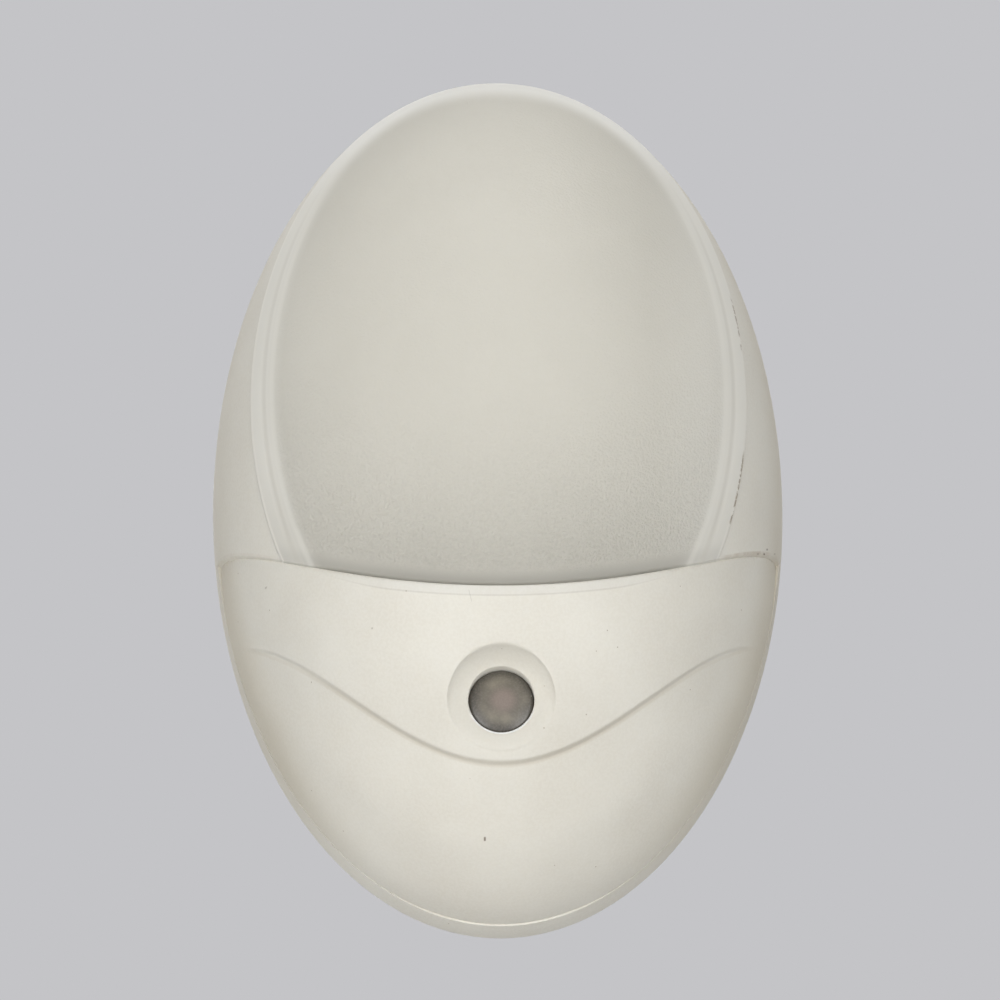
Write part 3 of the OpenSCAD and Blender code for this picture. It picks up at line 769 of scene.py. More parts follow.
class Finish(Nodes):
    """A material with its shader, the patterns that feed it and the colour painted so far."""

    def __init__(self, name, **shader):
        self.material = bpy.data.materials.new(name)
        self.material.use_nodes = True
        super().__init__(self.material.node_tree)
        self.shader = self.tree.nodes["Principled BSDF"]
        self.set(**shader)

    def set(self, **values):
        """Sets the shader's sockets; Base_Color stands for Base Color."""
        for name, value in values.items():
            self.feed(self.shader.inputs[name.replace("_", " ")], value)

    def clouds(self, size_mm, dark, light, low=0.3, high=0.7, detail=3.0):
        """Starts the colour with soft clouds of two shades."""
        self.colour = self.mix(self.band(self.noise(size_mm, detail), low, high), dark, light)

    def paint(self, share, shade):
        """Lays a shade over the colour so far, as thickly as share says."""
        self.colour = self.mix(share, self.colour, shade)

    def done(self, **values):
        """Gives the shader the painted colour and further values, and returns the material."""
        self.set(Base_Color=self.colour, **values)
        return self.material

    def place(self, scale=(1, 1, 1), move=(0, 0, 0)):
        """Object coordinates, in metres, scaled and moved."""
        raw = self.add("ShaderNodeTexCoord", output="Object")
        return self.add("ShaderNodeMapping", {}, {"Vector": raw, "Location": move, "Scale": scale})

    def axis(self, letter):
        """One object coordinate in millimetres."""
        return self.add("ShaderNodeSeparateXYZ", {}, {"Vector": self.place()}, letter) * 1000

    def sensor_reach(self, move_x=0.0):
        """Distance from the sensor's axis in millimetres."""
        centre = self.place(scale=(1, 0, 1), move=(move_x * MM, 0, -SENSOR_Z * MM))
        return self.add("ShaderNodeVectorMath", {"operation": "LENGTH"}, {0: centre}, "Value") * 1000

    def noise(self, size_mm, detail=3.0, rough=0.5, **place):
        """Soft random values from 0 to 1 whose blobs are about size_mm wide."""
        return self.add("ShaderNodeTexNoise", {}, {
            "Vector": self.place(**place), "Scale": 1 / (size_mm * MM), "Detail": detail,
            "Roughness": rough})

    def specks(self, size_mm, share):
        """1 on sparse dots and 0 between them; share is how many of the cells hold a dot."""
        inputs = {"Vector": self.place(), "Scale": 1 / (size_mm * SPECK_CELL * MM)}
        near = self.add("ShaderNodeTexVoronoi", {"feature": "F1"}, inputs, "Distance")
        pick = self.add("ShaderNodeTexVoronoi", {"feature": "F1"}, inputs, "Color")
        chance = self.add("ShaderNodeSeparateColor", {}, {"Color": pick})
        return (near < SPECK_R) * (chance < share)

    def mark(self, name):
        """A number that the mesh carries for each vertex."""
        return self.add("ShaderNodeAttribute", {"attribute_name": name}, output="Fac")

    def band(self, value, low, high):
        """0 below low, 1 above high and smooth between."""
        return self.add("ShaderNodeMapRange", {"interpolation_type": "SMOOTHSTEP"}, {
            "Value": value, "From Min": low, "From Max": high, "To Min": 0.0, "To Max": 1.0})

    def fade(self, value, low, high):
        """1 below low, 0 above high and smooth between."""
        return 1 - self.band(value, low, high)

    def stripe(self, value, centre, half, soft):
        """1 within half of centre, falling to 0 over soft."""
        return self.fade(abs(value - centre), half, half + soft)

    def mix(self, share, first, second):
        """A colour between two others; a Mix node's colour sockets have the numbers 6, 7 and 2."""
        inputs = {0: share, 6: first, 7: second}
        return self.add("ShaderNodeMix", {"data_type": "RGBA"}, inputs, 2)

    def relief(self, height, depth_mm, normal=None):
        """A Bump node over a height of 0 to 1."""
        inputs = {"Height": height, "Distance": depth_mm * MM, "Strength": 1.0}
        if normal is not None:
            inputs["Normal"] = normal
        return self.add("ShaderNodeBump", {}, inputs)

    def rounded(self, radius_mm):
        """Normals that look as if sharp edges were rounded."""
        return self.add("ShaderNodeBevel", {"samples": 4}, {"Radius": radius_mm * MM})


# ---- finishes of the parts that the photo shows

def rgb(red, green, blue):
    """A colour written from 0 to 255 as a screen shows it, made linear."""
    return tuple(
        v / 12.92 if v <= 0.04045 else ((v + 0.055) / 1.055) ** 2.4
        for v in (red / 255, green / 255, blue / 255)
    )


SHELL_WHITE = rgb(229, 226, 216)
SHELL_SHADE = rgb(223, 219, 208)
SHELL_GRAIN = rgb(238, 236, 228)
SHELL_SPECK = rgb(146, 128, 104)
SIDE_WALL_PAINTED_SHADE = rgb(188, 176, 149)
LIP_PAINTED_HIGHLIGHT = rgb(226, 226, 224)
LIP_PAINTED_SHADE_LINE = rgb(176, 172, 164)
CREASE_PAINTED_SHADE = rgb(190, 178, 154)
DISH_PAINTED_SHADE = rgb(204, 200, 188)
HOLE_GLINT = rgb(250, 250, 248)
LOWER_MIDDLE_PAINTED_SHADE = rgb(176, 170, 158)
SCRATCH = rgb(170, 166, 156)
DIRT = rgb(96, 74, 52)
GAP_DIRT = rgb(124, 98, 62)
SEAM_DUST_AND_SHADE = rgb(170, 150, 124)
LENS_WHITE = rgb(211, 208, 198)
LENS_SHADE = rgb(207, 204, 194)
LENS_BORDER_PAINTED_LIGHT = rgb(238, 236, 228)
LENS_TOP_BORDER_PAINTED_LIGHT = rgb(248, 247, 241)
LENS_PAINTED_LIGHT = rgb(246, 244, 236)
LENS_EDGE_HIGHLIGHT = rgb(240, 237, 228)
LENS_PAINTED_SHADE_LINE = rgb(200, 196, 185)
LENS_PAINTED_SHADE = rgb(40, 36, 28)
LENS_FADE_MM = 21.0

# centre, half size and softness across and up, and strength
COVER_SPECKS = [
    ((-1.85, 0.06, 0.1), (-43.55, 0.1, 0.14), 0.75),
    ((-26.07, 0.06, 0.1), (-14.19, 0.05, 0.1), 0.32),
    ((-14.29, 0.05, 0.08), (-22.19, 0.05, 0.08), 0.32),
]
SCRATCH_Z = -19.98
# place across and up in the photo's view, and strength
SEAM_CRUMBS = [(29.64, -4.5, 0.8), (29.99, -3.98, 0.55), (28.9, -4.46, 0.35), (30.9, -4.5, 0.3)]
DUST_AND_SHADE_R = 47.6


def shell_plastic(name, mottle_mm, edge_mm=0.0):
    """Satin moulded plastic, slightly yellowed: fine orange peel, faint mottling and specks."""
    f = Finish(name, Subsurface_Weight=0.12, Subsurface_Radius=(1, 0.9, 0.75),
               Subsurface_Scale=1.0 * MM, Specular_IOR_Level=0.1)
    f.clouds(mottle_mm, SHELL_SHADE, SHELL_WHITE, 0.25, 0.75)
    f.paint(f.band(f.noise(0.32, 2), 0.35, 0.65) * 0.22, SHELL_GRAIN)
    f.paint(f.specks(0.13, 0.07) * 0.6, SHELL_SPECK)
    edges = f.rounded(edge_mm) if edge_mm else None
    f.set(Roughness=f.noise(3.0, 3) * 0.12 + 0.4, Normal=f.relief(f.noise(0.5, 2), 0.026, edges))
    return f


def side_wall_shade(f):
    """Share of painted shade: 1 where the shell has turned away to the sides, 0 in front and at the
    foot.
    """
    return f.band(f.axis("Y"), -13.5, -5) * f.band(abs(f.axis("X")), 12, 26)


def cover_finish():
    """The shell plastic with a painted highlight on the bevel, painted shade in the dish, the crease,
    the lower middle and the sides, a painted glint at the hole, and a few marks.
    """
    f = shell_plastic("cover_plastic_satin", 10)
    seam = f.mark("seam_mm")
    x, z = f.axis("X"), f.axis("Z")
    middle = f.fade(abs(x), 12, 21)
    # painted highlight on the bevel along the top edge, and a painted shade line along the bevel's
    # foot, both strongest in the middle
    f.paint(f.fade(seam, 0.9, 1.02) * middle * 0.2, LIP_PAINTED_HIGHLIGHT)
    f.paint(f.stripe(seam, 1.06, 0.04, 0.1) * middle * 0.25, LIP_PAINTED_SHADE_LINE)
    reach = f.sensor_reach()
    # painted shade inside the sensor's dish
    f.paint(f.fade(reach, 4.4, 6.0) * 0.16, DISH_PAINTED_SHADE)
    below_window = f.fade(z, SENSOR_Z - 2.4, SENSOR_Z - 0.8)
    f.paint(f.stripe(reach, HOLE_R + 0.1, 0.07, 0.08) * below_window, HOLE_GLINT)
    # painted shade along the crease, fading towards its ends
    crease = f.stripe(f.mark("crease_mm"), -0.05, 0.1, 0.34) * f.fade(abs(x), *CREASE_FADE)
    f.paint(crease * (0.28 - f.band(abs(x), 15, 24) * 0.14), CREASE_PAINTED_SHADE)
    # painted shade over the lower middle of the cover
    lower_middle = f.fade(z, -34, -22) * f.fade(abs(x), 6, 22)
    f.paint(lower_middle * 0.13, LOWER_MIDDLE_PAINTED_SHADE)
    # painted shade on the side walls
    f.paint(side_wall_shade(f) * 0.42, SIDE_WALL_PAINTED_SHADE)
    for across, up, strength in COVER_SPECKS:
        f.paint(f.stripe(x, *across) * f.stripe(z, *up) * strength, DIRT)
    slanted = x + (z - SCRATCH_Z) * 0.25
    f.paint(f.stripe(slanted, -3.42, 0.02, 0.05) * f.stripe(z, SCRATCH_Z, 0.5, 0.3) * 0.3, SCRATCH)
    return f.done()


def housing_finish():
    """The shell plastic with softened edges, painted shade on the side walls, and dust, painted shade
    and crumbs on the seam.
    """
    f = shell_plastic("housing_plastic_satin", 11, 0.1)
    x, y, z = f.axis("X"), f.axis("Y"), f.axis("Z")
    from_seam = x * x + (z - SEAM_Z) ** 2.0 - DUST_AND_SHADE_R ** 2
    front = f.fade(y, RIM_Y, RIM_Y + 0.6)
    # dust along the seam on the right, and a fainter painted shade along the seam's step on the left
    dust_and_shade = f.stripe(from_seam, 30, 4, 16) * front * (f.band(f.noise(1.2, 2), 0.3, 0.6) * 0.6 + 0.4)
    right_film = f.band(x, 24, 26) * (0.42 - f.band(x, 29, 31) * 0.3)
    dust_and_shade = dust_and_shade * (right_film + f.fade(x, -26, -24) * 0.12)
    # painted shade on the side walls, stronger on the right
    f.paint(side_wall_shade(f) * (f.band(x, -4, 4) * 0.15 + 0.2), SIDE_WALL_PAINTED_SHADE)
    f.paint(dust_and_shade, SEAM_DUST_AND_SHADE)
    level = z * VIEW_COS + y * VIEW_SIN
    for across, height, strength in SEAM_CRUMBS:
        crumb = f.stripe(x, across, 0.05, 0.1) * f.stripe(level, height, 0.05, 0.1)
        f.paint(crumb * front * strength, DIRT)
    return f.done()


def lens_finish():
    """Frosted plastic: a smooth border and sides with painted light, a pebbled field with painted shade
    towards the foot, a painted highlight on the edge, dirt.
    """
    f = Finish("lens_plastic_frosted", Subsurface_Weight=0.2, Subsurface_Radius=(1, 0.95, 0.85),
               Subsurface_Scale=0.6 * MM, Specular_IOR_Level=0.16)
    side, foot, border = f.mark("side_mm"), f.mark("foot_mm"), f.mark("border_mm")
    f.clouds(14, LENS_SHADE, LENS_WHITE, 0.2, 0.8)
    low = f.add("ShaderNodeMath", {"operation": "SUBTRACT", "use_clamp": True}, {
        0: 1.0, 1: foot / LENS_FADE_MM})
    x, z = f.axis("X"), f.axis("Z")
    # painted light towards the lens's sides, more on the right, evening out the shade of its curve
    f.paint(f.band(abs(x), 16, 24.5) * (f.band(x, -2, 2) * 0.3 + 0.1), LENS_PAINTED_LIGHT)
    # painted shade deepening towards the foot, less at the sides, and a darker painted band just above
    # the foot
    deeper = 1 - f.band(abs(x), 8, 22) * 0.55
    f.paint(low * low * deeper * 0.24 + f.fade(foot, 0.2, 1.8) * 0.2, LENS_PAINTED_SHADE)
    pebbles = f.noise(0.33, 3, 0.6)
    field = f.band(border, 2.2, 3.4) * f.band(foot, 0.6, 2.0)
    # painted shade in the pebbles, stronger towards the foot
    f.paint(f.band(pebbles, 0.4, 0.7) * field * low * 0.08, LENS_PAINTED_SHADE)
    # painted light on the border, where light comes through the lens's wall, whiter at the top and
    # fainter near the foot
    pale = f.mix(f.band(z, 32, 42), LENS_BORDER_PAINTED_LIGHT, LENS_TOP_BORDER_PAINTED_LIGHT)
    near_foot = f.band(foot, 0.5, 10) * 0.5 + 0.5
    f.paint(f.fade(border, 1.5, 3.7) * near_foot * 0.8, pale)
    # a painted shade line over the groove and a painted light line over the ridge inside the border,
    # fading at the top
    lines = 0.26 - f.band(z, 22, 38) * 0.24
    f.paint(f.stripe(border, 1.45, 0.06, 0.36) * lines, LENS_PAINTED_SHADE_LINE)
    f.paint(f.stripe(border, 2.45, 0.06, 0.4) * lines, LENS_PAINTED_LIGHT)
    # painted highlight along the lens's edge, stronger on the left
    f.paint(f.fade(side, 0.1, 0.26) * (0.65 - f.band(x, -2, 2) * 0.25), LENS_EDGE_HIGHLIGHT)
    right = f.band(x, 1, 2) * f.fade(side, 0.05, 0.2) * f.fade(border, 2, 3)
    right = right * f.band(f.noise(0.3, 2), 0.3, 0.5)
    upper = f.stripe(z, 17.5, 2.6, 1.4) * f.band(f.noise(1.6, 3), 0.4, 0.5)
    lower = f.stripe(z, -3.6, 3.6, 1.6) * f.band(f.noise(1.1, 3), 0.42, 0.5)
    f.paint(right * upper.math("MAXIMUM", upper, lower) * 0.65, GAP_DIRT)
    return f.done(Roughness=f.noise(2.0, 3) * 0.14 + 0.48,
                  Normal=f.relief(pebbles * field * (low + 0.4), 0.17))


def window_finish():
    """Smoky translucent plastic: a pinkish middle, a greyer ring with pale blotches, a dark edge."""
    f = Finish("window_plastic_smoky", Coat_Weight=0.35, Coat_Roughness=0.3, Specular_IOR_Level=0.4)
    blotch = f.noise(2.6, 1, 0.4, move=(0.0031, 0, 0.0012))
    reach = f.sensor_reach(-0.2)
    f.colour = f.mix(f.band(blotch, 0.35, 0.7), rgb(106, 101, 91), rgb(136, 130, 116))
    f.paint(f.fade(reach, 0.5, 2.1) * 0.75, rgb(144, 130, 122))
    f.paint(f.band(reach, 2.0, 3.5) * 0.85, rgb(66, 63, 58))
    grain = f.noise(0.22, 2)
    f.paint(f.band(grain, 0.4, 0.7) * 0.12, rgb(170, 160, 150))
    f.paint(f.specks(0.09, 0.12), rgb(222, 219, 212))
    return f.done(Roughness=grain * 0.12 + 0.34, Normal=f.relief(grain, 0.006))


# ---- finishes of the parts inside and behind

TINNED = rgb(190, 190, 188)
BARE_METAL = rgb(190, 192, 194)
RESISTOR_X = 7.0
CAPACITOR_X = -7.0
CAPACITOR_Z = -27.1
DIODE_X = 7.5


def plain_plastic(name, light, dark, rough=0.45, edge=0.12):
    """Moulded plastic for the inside parts: cloudy colour, fine peel and softened edges."""
    f = Finish(name, Specular_IOR_Level=0.45)
    f.clouds(3.5, dark, light)
    f.paint(f.specks(0.1, 0.08) * 0.4, rgb(120, 110, 96))
    peel = f.relief(f.noise(0.4, 2), 0.012, f.rounded(edge))
    return f.done(Roughness=f.noise(1.5, 3) * 0.15 + rough - 0.07, Normal=peel)


def metal(name, light, dark, rough, grain=(1, 1, 1)):
    """Metal with a brushed or cast grain and dull patches."""
    f = Finish(name, Metallic=1.0)
    patches = f.band(f.noise(2.5, 4, 0.6), 0.35, 0.7)
    lines = f.noise(0.25, 3, 0.6, scale=grain)
    f.colour = f.mix(patches, dark, light)
    normal = f.relief(lines, 0.01)
    return f.done(Roughness=patches * -0.12 + rough + lines * 0.1, Normal=normal)


def board_finish():
    """Green laminate: weave under the mask and copper tracks."""
    f = Finish("board_laminate_green", Coat_Weight=0.4, Coat_Roughness=0.2)
    x, z = f.axis("X"), f.axis("Z")
    weave = f.add("ShaderNodeTexBrick", {"offset": 0.5}, {
        "Vector": f.place(), "Scale": 2200.0, "Mortar Size": 0.12}, "Fac")
    f.clouds(4, rgb(30, 84, 50), rgb(40, 98, 60))
    f.paint(weave * 0.1, rgb(120, 150, 110))
    tracks = f.stripe(abs(x), 4.2, 0.45, 0.08) * f.band(z, -36.5, -36.3)
    rails = f.stripe(z, -35.2, 0.4, 0.08) * f.fade(abs(x), 12.9, 13.0)
    copper = tracks.math("MAXIMUM", tracks, rails)
    f.paint(copper * 0.6, rgb(92, 140, 74))
    return f.done(Roughness=f.noise(1.2, 2) * 0.15 + 0.35,
                  Normal=f.relief(copper, 0.03, f.rounded(0.08)))


def photocell_finish():
    """An orange light-sensitive face crossed by a winding dark track, on a pale ceramic disc."""
    f = Finish("photocell_orange", Coat_Weight=0.6, Coat_Roughness=0.1)
    x, y, z = f.axis("X"), f.axis("Y"), f.axis("Z")
    wave = x.math("SINE", x * 7.5)
    track = f.stripe(z - SENSOR_Z - wave * 1.35, 0, 0.14, 0.06)
    rows = z.math("SINE", (z - SENSOR_Z) * 9)
    f.colour = f.mix(f.band(rows, 0.2, 0.5), rgb(196, 92, 42), rgb(226, 196, 120))
    f.paint(track, rgb(70, 30, 20))
    f.paint(f.band(y, -20.5, -20.4), rgb(196, 176, 150))
    return f.done(Roughness=f.noise(0.8, 2) * 0.1 + 0.3)


def capacitor_finish():
    """A blue sleeve with a pale stripe down its negative side and a bare metal top."""
    f = Finish("capacitor_sleeve_blue", Coat_Weight=0.3, Coat_Roughness=0.2)
    x, y, z = f.axis("X"), f.axis("Y"), f.axis("Z")
    stripe = f.stripe(z, CAPACITOR_Z + 1.7, 0.7, 0.05) * f.band(y, -18.1, -18.05)
    f.clouds(2, rgb(38, 66, 116), rgb(50, 80, 138), detail=2)
    f.paint(stripe * 0.8, rgb(205, 210, 216))
    reach = (x - CAPACITOR_X) ** 2.0 + (z - CAPACITOR_Z) ** 2.0
    top = f.fade(y, -18.28, -18.22) * f.fade(reach, 3.6, 3.9)
    f.paint(top, BARE_METAL)
    return f.done(Metallic=top, Roughness=f.noise(0.7, 2) * 0.1 + 0.3)


def resistor_finish():
    """Buff lacquer with coloured bands, and tinned leads."""
    f = Finish("resistor_body_banded", Coat_Weight=0.4, Coat_Roughness=0.15)
    along = abs(f.axis("X")) - RESISTOR_X
    f.clouds(1.5, rgb(196, 162, 116), rgb(208, 176, 132))
    bands = ((-1.45, rgb(120, 66, 34)), (-0.75, rgb(28, 26, 26)), (-0.05, rgb(206, 120, 40)),
             (1.35, rgb(190, 150, 60)))
    for centre, shade in bands:
        f.paint(f.stripe(along, centre, 0.2, 0.04), shade)
    lead = f.band(abs(along), 2.44, 2.5)
    f.paint(lead, TINNED)
    return f.done(Metallic=lead, Roughness=f.noise(0.7, 2) * 0.1 + 0.28)


def component_finish():
    """Black moulded bodies, with a pale band round the diode's end and tinned leads."""
    f = Finish("component_black_epoxy", Specular_IOR_Level=0.45)
    x, z = f.axis("X"), f.axis("Z")
    f.clouds(1.2, rgb(30, 30, 33), rgb(42, 42, 46))
    f.paint(f.stripe(x, DIODE_X + 1.1, 0.35, 0.04) * 0.85, rgb(200, 202, 204))
    lead = f.band(abs(x - DIODE_X), 2.1, 2.15) * f.band(z, -27.2, -27.1)
    f.paint(lead, TINNED)
    return f.done(Metallic=lead, Roughness=f.noise(0.5, 3) * 0.2 + 0.4,
                  Normal=f.relief(f.noise(0.25, 2), 0.012))


def card_finish():
    """Grey fibre sheet with short fibres."""
    f = Finish("sheet_card_fibre", Specular_IOR_Level=0.3)
    fibres = f.noise(0.5, 4, 0.7, scale=(1, 1, 0.2))
    f.colour = f.mix(f.band(fibres, 0.35, 0.65), rgb(170, 160, 136), rgb(196, 186, 160))
    return f.done(Roughness=fibres * 0.1 + 0.75, Normal=f.relief(fibres, 0.02))


def clear_glass_finish():
    """Thin clear glass with faint ripples."""
    f = Finish("clear_glass_thin", Transmission_Weight=1.0, IOR=1.46)
    ripple = f.noise(6, 2)
    f.colour = f.mix(ripple, (0.95, 0.965, 0.965), (0.98, 0.985, 0.985))
    return f.done(Roughness=ripple * 0.03 + 0.01, Normal=f.relief(ripple, 0.03))


def dark_glass_finish():
    """Black glass of the lamp's insulator, slightly uneven."""
    f = Finish("black_glass_insulator", Coat_Weight=0.6, Coat_Roughness=0.05)
    f.clouds(1.5, rgb(18, 16, 20), rgb(34, 30, 38), detail=2)
    return f.done(Roughness=f.noise(0.6, 2) * 0.1 + 0.12, Normal=f.relief(f.noise(0.8, 2), 0.03))


def make_finishes():
    """Every finish, under the CAD part's name for its material slot."""
    return {
        "housing_plastic": housing_finish(),
        "cover_plastic": cover_finish(),
        "lens_plastic": lens_finish(),
        "window_plastic": window_finish(),
        "photocell_face": photocell_finish(),
        "board_laminate": board_finish(),
        "sheet_card": card_finish(),
        "component_black": component_finish(),
        "capacitor_sleeve": capacitor_finish(),
        "resistor_body": resistor_finish(),
        "solder": metal("solder_joint_grey", rgb(196, 197, 199), rgb(150, 151, 154), 0.42),
        "holder_plastic": plain_plastic("holder_plastic_cream", rgb(228, 222, 206),
                                        rgb(218, 211, 193)),
        "brass": metal("brass_plain", rgb(214, 183, 116), rgb(202, 168, 102), 0.34, (1, 0.15, 1)),
        "wire_black": plain_plastic("wire_black_sleeve", rgb(38, 38, 40), rgb(26, 26, 28), 0.5),
        "wire_white": plain_plastic("wire_white_sleeve", rgb(226, 226, 222), rgb(212, 211, 206), 0.5),
        "black_glass": dark_glass_finish(),
        "clear_glass": clear_glass_finish(),
        "lamp_wire": metal("lamp_wire_grey", rgb(150, 146, 140), rgb(112, 106, 100), 0.4),
        "screw_steel": metal("screw_steel_zinc", rgb(214, 216, 219), rgb(182, 184, 188), 0.4),
    }


# ---- pieces made from the CAD mesh

BLADE_CORNER_R = 0.14


def settle(made):
    """Turns an object's modifiers into plain mesh."""
    bpy.context.view_layer.update()
    seen = made.evaluated_get(bpy.context.evaluated_depsgraph_get())
    mesh = bpy.data.meshes.new_from_object(seen)
    made.modifiers.clear()
    made.data = mesh
    return made


def softened(node, name, width, material):
    """A copy of a flat-sided CAD piece with its corners rounded."""
    work = bmesh.new()
    work.from_mesh(CAD[node].data)
    bmesh.ops.remove_doubles(work, verts=work.verts, dist=1e-6)
    flat = math.radians(0.5)
    bmesh.ops.dissolve_limit(work, angle_limit=flat, verts=work.verts, edges=work.edges)
    mesh = bpy.data.meshes.new(name)
    work.to_mesh(mesh)
    work.free()
    mesh.materials.clear()
    mesh.materials.append(material)
    mesh.polygons.foreach_set("use_smooth", [True] * len(mesh.polygons))
    made = linked(name, mesh)
    edge = made.modifiers.new("rounded_corners", "BEVEL")
    edge.width = width * MM
    edge.segments = 3
    edge.limit_method = "ANGLE"
    edge.angle_limit = math.radians(28)
    edge.harden_normals = True
    return settle(made)


# ---- screws

SMALL_SCREW = {"Head Radius": 1.9, "Head Height": 1.3, "Shank Radius": 0.9, "Length": 6.0, "Pitch": 0.6}
BIG_SCREW = {"Head Radius": 2.3, "Head Height": 1.6, "Shank Radius": 1.25, "Length": 8.0, "Pitch": 0.9}

# name, CAD node, places as x and z, depth of the heads, kind, and 1 to point at the wall or -1 away
SCREW_SETS = [
    ("clamp_screw_pair", "clamp_screws", [(0.0, -33.9), (0.0, -26.1)], -9.7, SMALL_SCREW, 1),
    ("board_screw_pair", "board_screws", [(-12.5, -30.9), (12.5, -30.9)], -14.1, SMALL_SCREW, 1),
    ("holder_screw_pair", "holder_screws", [(-11.7, -11.0), (11.7, -11.0)], -10.5, SMALL_SCREW, 1),
    ("cover_screw_set", "cover_screws", COVER_SCREWS, -1.9, BIG_SCREW, -1),
]
HEAD_DOMING = 0.32
RECESS_LENGTH = 1.2
RECESS_WIDTH = 0.26
THREAD_ROOT = 0.8
# a ridge's thickness, the first ridge's place and the bare end, in pitches
RIDGE_DEPTH = 0.55
FIRST_RIDGE = 0.6
BARE_END = 1.5


class Rule(Nodes):
    """A geometry tree with named inputs, which ends in Realize Instances and Set Material."""

    def __init__(self, name, sizes):
        super().__init__(bpy.data.node_groups.new(name, "GeometryNodeTree"))
        face = self.tree.interface
        face.new_socket("Geometry", in_out="INPUT", socket_type="NodeSocketGeometry")
        for size in sizes:
            face.new_socket(size, in_out="INPUT", socket_type="NodeSocketFloat")
        face.new_socket("Geometry", in_out="OUTPUT", socket_type="NodeSocketGeometry")
        self.entry = self.tree.nodes.new("NodeGroupInput")

    def given(self, name):
        return Socket(self, self.entry.outputs[name])

    def vector(self, x=0.0, y=0.0, z=0.0):
        return self.add("ShaderNodeCombineXYZ", {}, {"X": x, "Y": y, "Z": z})

    def moved(self, mesh, offset, turn=(0, 0, 0)):
        return self.add("GeometryNodeTransform", {}, {
            "Geometry": mesh, "Translation": offset, "Rotation": turn})

    def close(self, geometry, material):
        """The end of every tree."""
        real = self.add("GeometryNodeRealizeInstances", {}, {"Geometry": geometry})
        done = self.add("GeometryNodeSetMaterial", {}, {"Geometry": real, "Material": material})
        out = self.tree.nodes.new("NodeGroupOutput")
        self.feed(out.inputs["Geometry"], done)

    def apply(self, made, values):
        """Runs the tree on an object with the inputs' values, and leaves a plain mesh."""
        modifier = made.modifiers.new(self.tree.name, "NODES")
        modifier.node_group = self.tree
        for item in self.tree.interface.items_tree:
            if item.in_out == "INPUT" and item.name in values:
                modifier[item.identifier] = float(values[item.name])
        return settle(made)


def screw_head(r, radius, height):
    """A pan head with a cross recess."""
    disc = r.add("GeometryNodeMeshCylinder", {}, {
        "Vertices": 40, "Side Segments": 8, "Radius": radius, "Depth": height}, "Mesh")
    spot = r.add("GeometryNodeInputPosition")
    x, y, z = (r.add("ShaderNodeSeparateXYZ", {}, {"Vector": spot}, letter) for letter in "XYZ")
    up = 0.5 - z / height
    narrow = 1 - up * up * up * HEAD_DOMING
    head = r.add("GeometryNodeSetPosition", {}, {
        "Geometry": disc, "Position": r.vector(x * narrow, y * narrow, z + height * 0.5)})
    long, wide = radius * RECESS_LENGTH, radius * RECESS_WIDTH
    cut = [
        r.add("GeometryNodeMeshCube", {}, {"Size": size}, "Mesh")
        for size in (r.vector(long, wide, height), r.vector(wide, long, height))
    ]
    return r.add("GeometryNodeMeshBoolean", {"operation": "DIFFERENCE", "solver": "EXACT"}, {
        "Mesh 1": head, "Mesh 2": cut}, "Mesh")


def screw_rule(material):
    """A pan-head screw with a cross recess and a thread, set on each point and turned to it."""
    r = Rule("screw", [*SMALL_SCREW, "Turn"])
    head_r, head_h, shank_r, length, pitch = (r.given(name) for name in SMALL_SCREW)
    head = screw_head(r, head_r, head_h)
    root_r = shank_r * THREAD_ROOT
    root = r.add("GeometryNodeMeshCylinder", {}, {
        "Vertices": 28, "Radius": root_r, "Depth": length}, "Mesh")
    root = r.moved(root, r.vector(z=head_h + length * 0.5))
    ridge = r.add("GeometryNodeMeshCone", {}, {
        "Vertices": 28, "Radius Top": root_r, "Radius Bottom": shank_r,
        "Depth": pitch * RIDGE_DEPTH}, "Mesh")
    row = r.add("GeometryNodeMeshLine", {"mode": "OFFSET"}, {
        "Count": length / pitch - BARE_END, "Offset": r.vector(z=pitch),
        "Start Location": r.vector(z=head_h + pitch * FIRST_RIDGE)})
    thread = r.add("GeometryNodeInstanceOnPoints", {}, {"Points": row, "Instance": ridge})
    screw = r.add("GeometryNodeJoinGeometry", {}, {"Geometry": [head, root, thread]})
    turned = r.moved(screw, (0, 0, 0), r.vector(x=r.given("Turn")))
    many = r.add("GeometryNodeInstanceOnPoints", {}, {
        "Points": r.given("Geometry"), "Instance": turned})
    r.close(many, material)
    return r


def all_screws(material):
    """Every set of screws, each in the place of its CAD node."""
    rule = screw_rule(material)
    for name, node, places, head_y, kind, towards in SCREW_SETS:
        solid = Solid()
        solid.add([(x, head_y, z) for x, z in places])
        made = solid.object(name, material)
        values = {size: value * MM for size, value in kind.items()}
        rule.apply(made, {**values, "Turn": -towards * math.pi / 2})
        shade_smooth(made.data, 30)
        attach(made, "housing", "screw_steel", node)


# ---- lamp

CAP_LOW = -16.7
CAP_HIGH = -1.2
CAP_R = 5.95
CAP_WALL = 0.35
CAP_HOLE_R = 3.0
CAP_STEPS = 96
THREAD_DEPTH = 0.34
THREAD_STARTS = (CAP_LOW + 0.6, CAP_LOW + 2.2)
THREAD_ENDS = (CAP_HIGH - 3.2, CAP_HIGH - 1.6)
TIP_PROFILE = [(0.35, -18.9), (0.9, -18.87), (1.4, -18.78), (1.85, -18.6), (2.15, -18.42), (2.3, -18.3)]
TIP_STEPS = 40
COIL_BOW_R = 3.13
COIL_Z = 12.71
COIL_R = 0.145
COIL_WIRE_R = 0.05
COIL_TURNS = 46
COIL_POINTS = 14
COIL_SIDES = 6


def lamp_ring(radius, z, steps):
    """A level ring round the lamp's axis."""
    cos, sin = circle(steps)
    return stack(radius * cos, LAMP_Y + radius * sin, z)


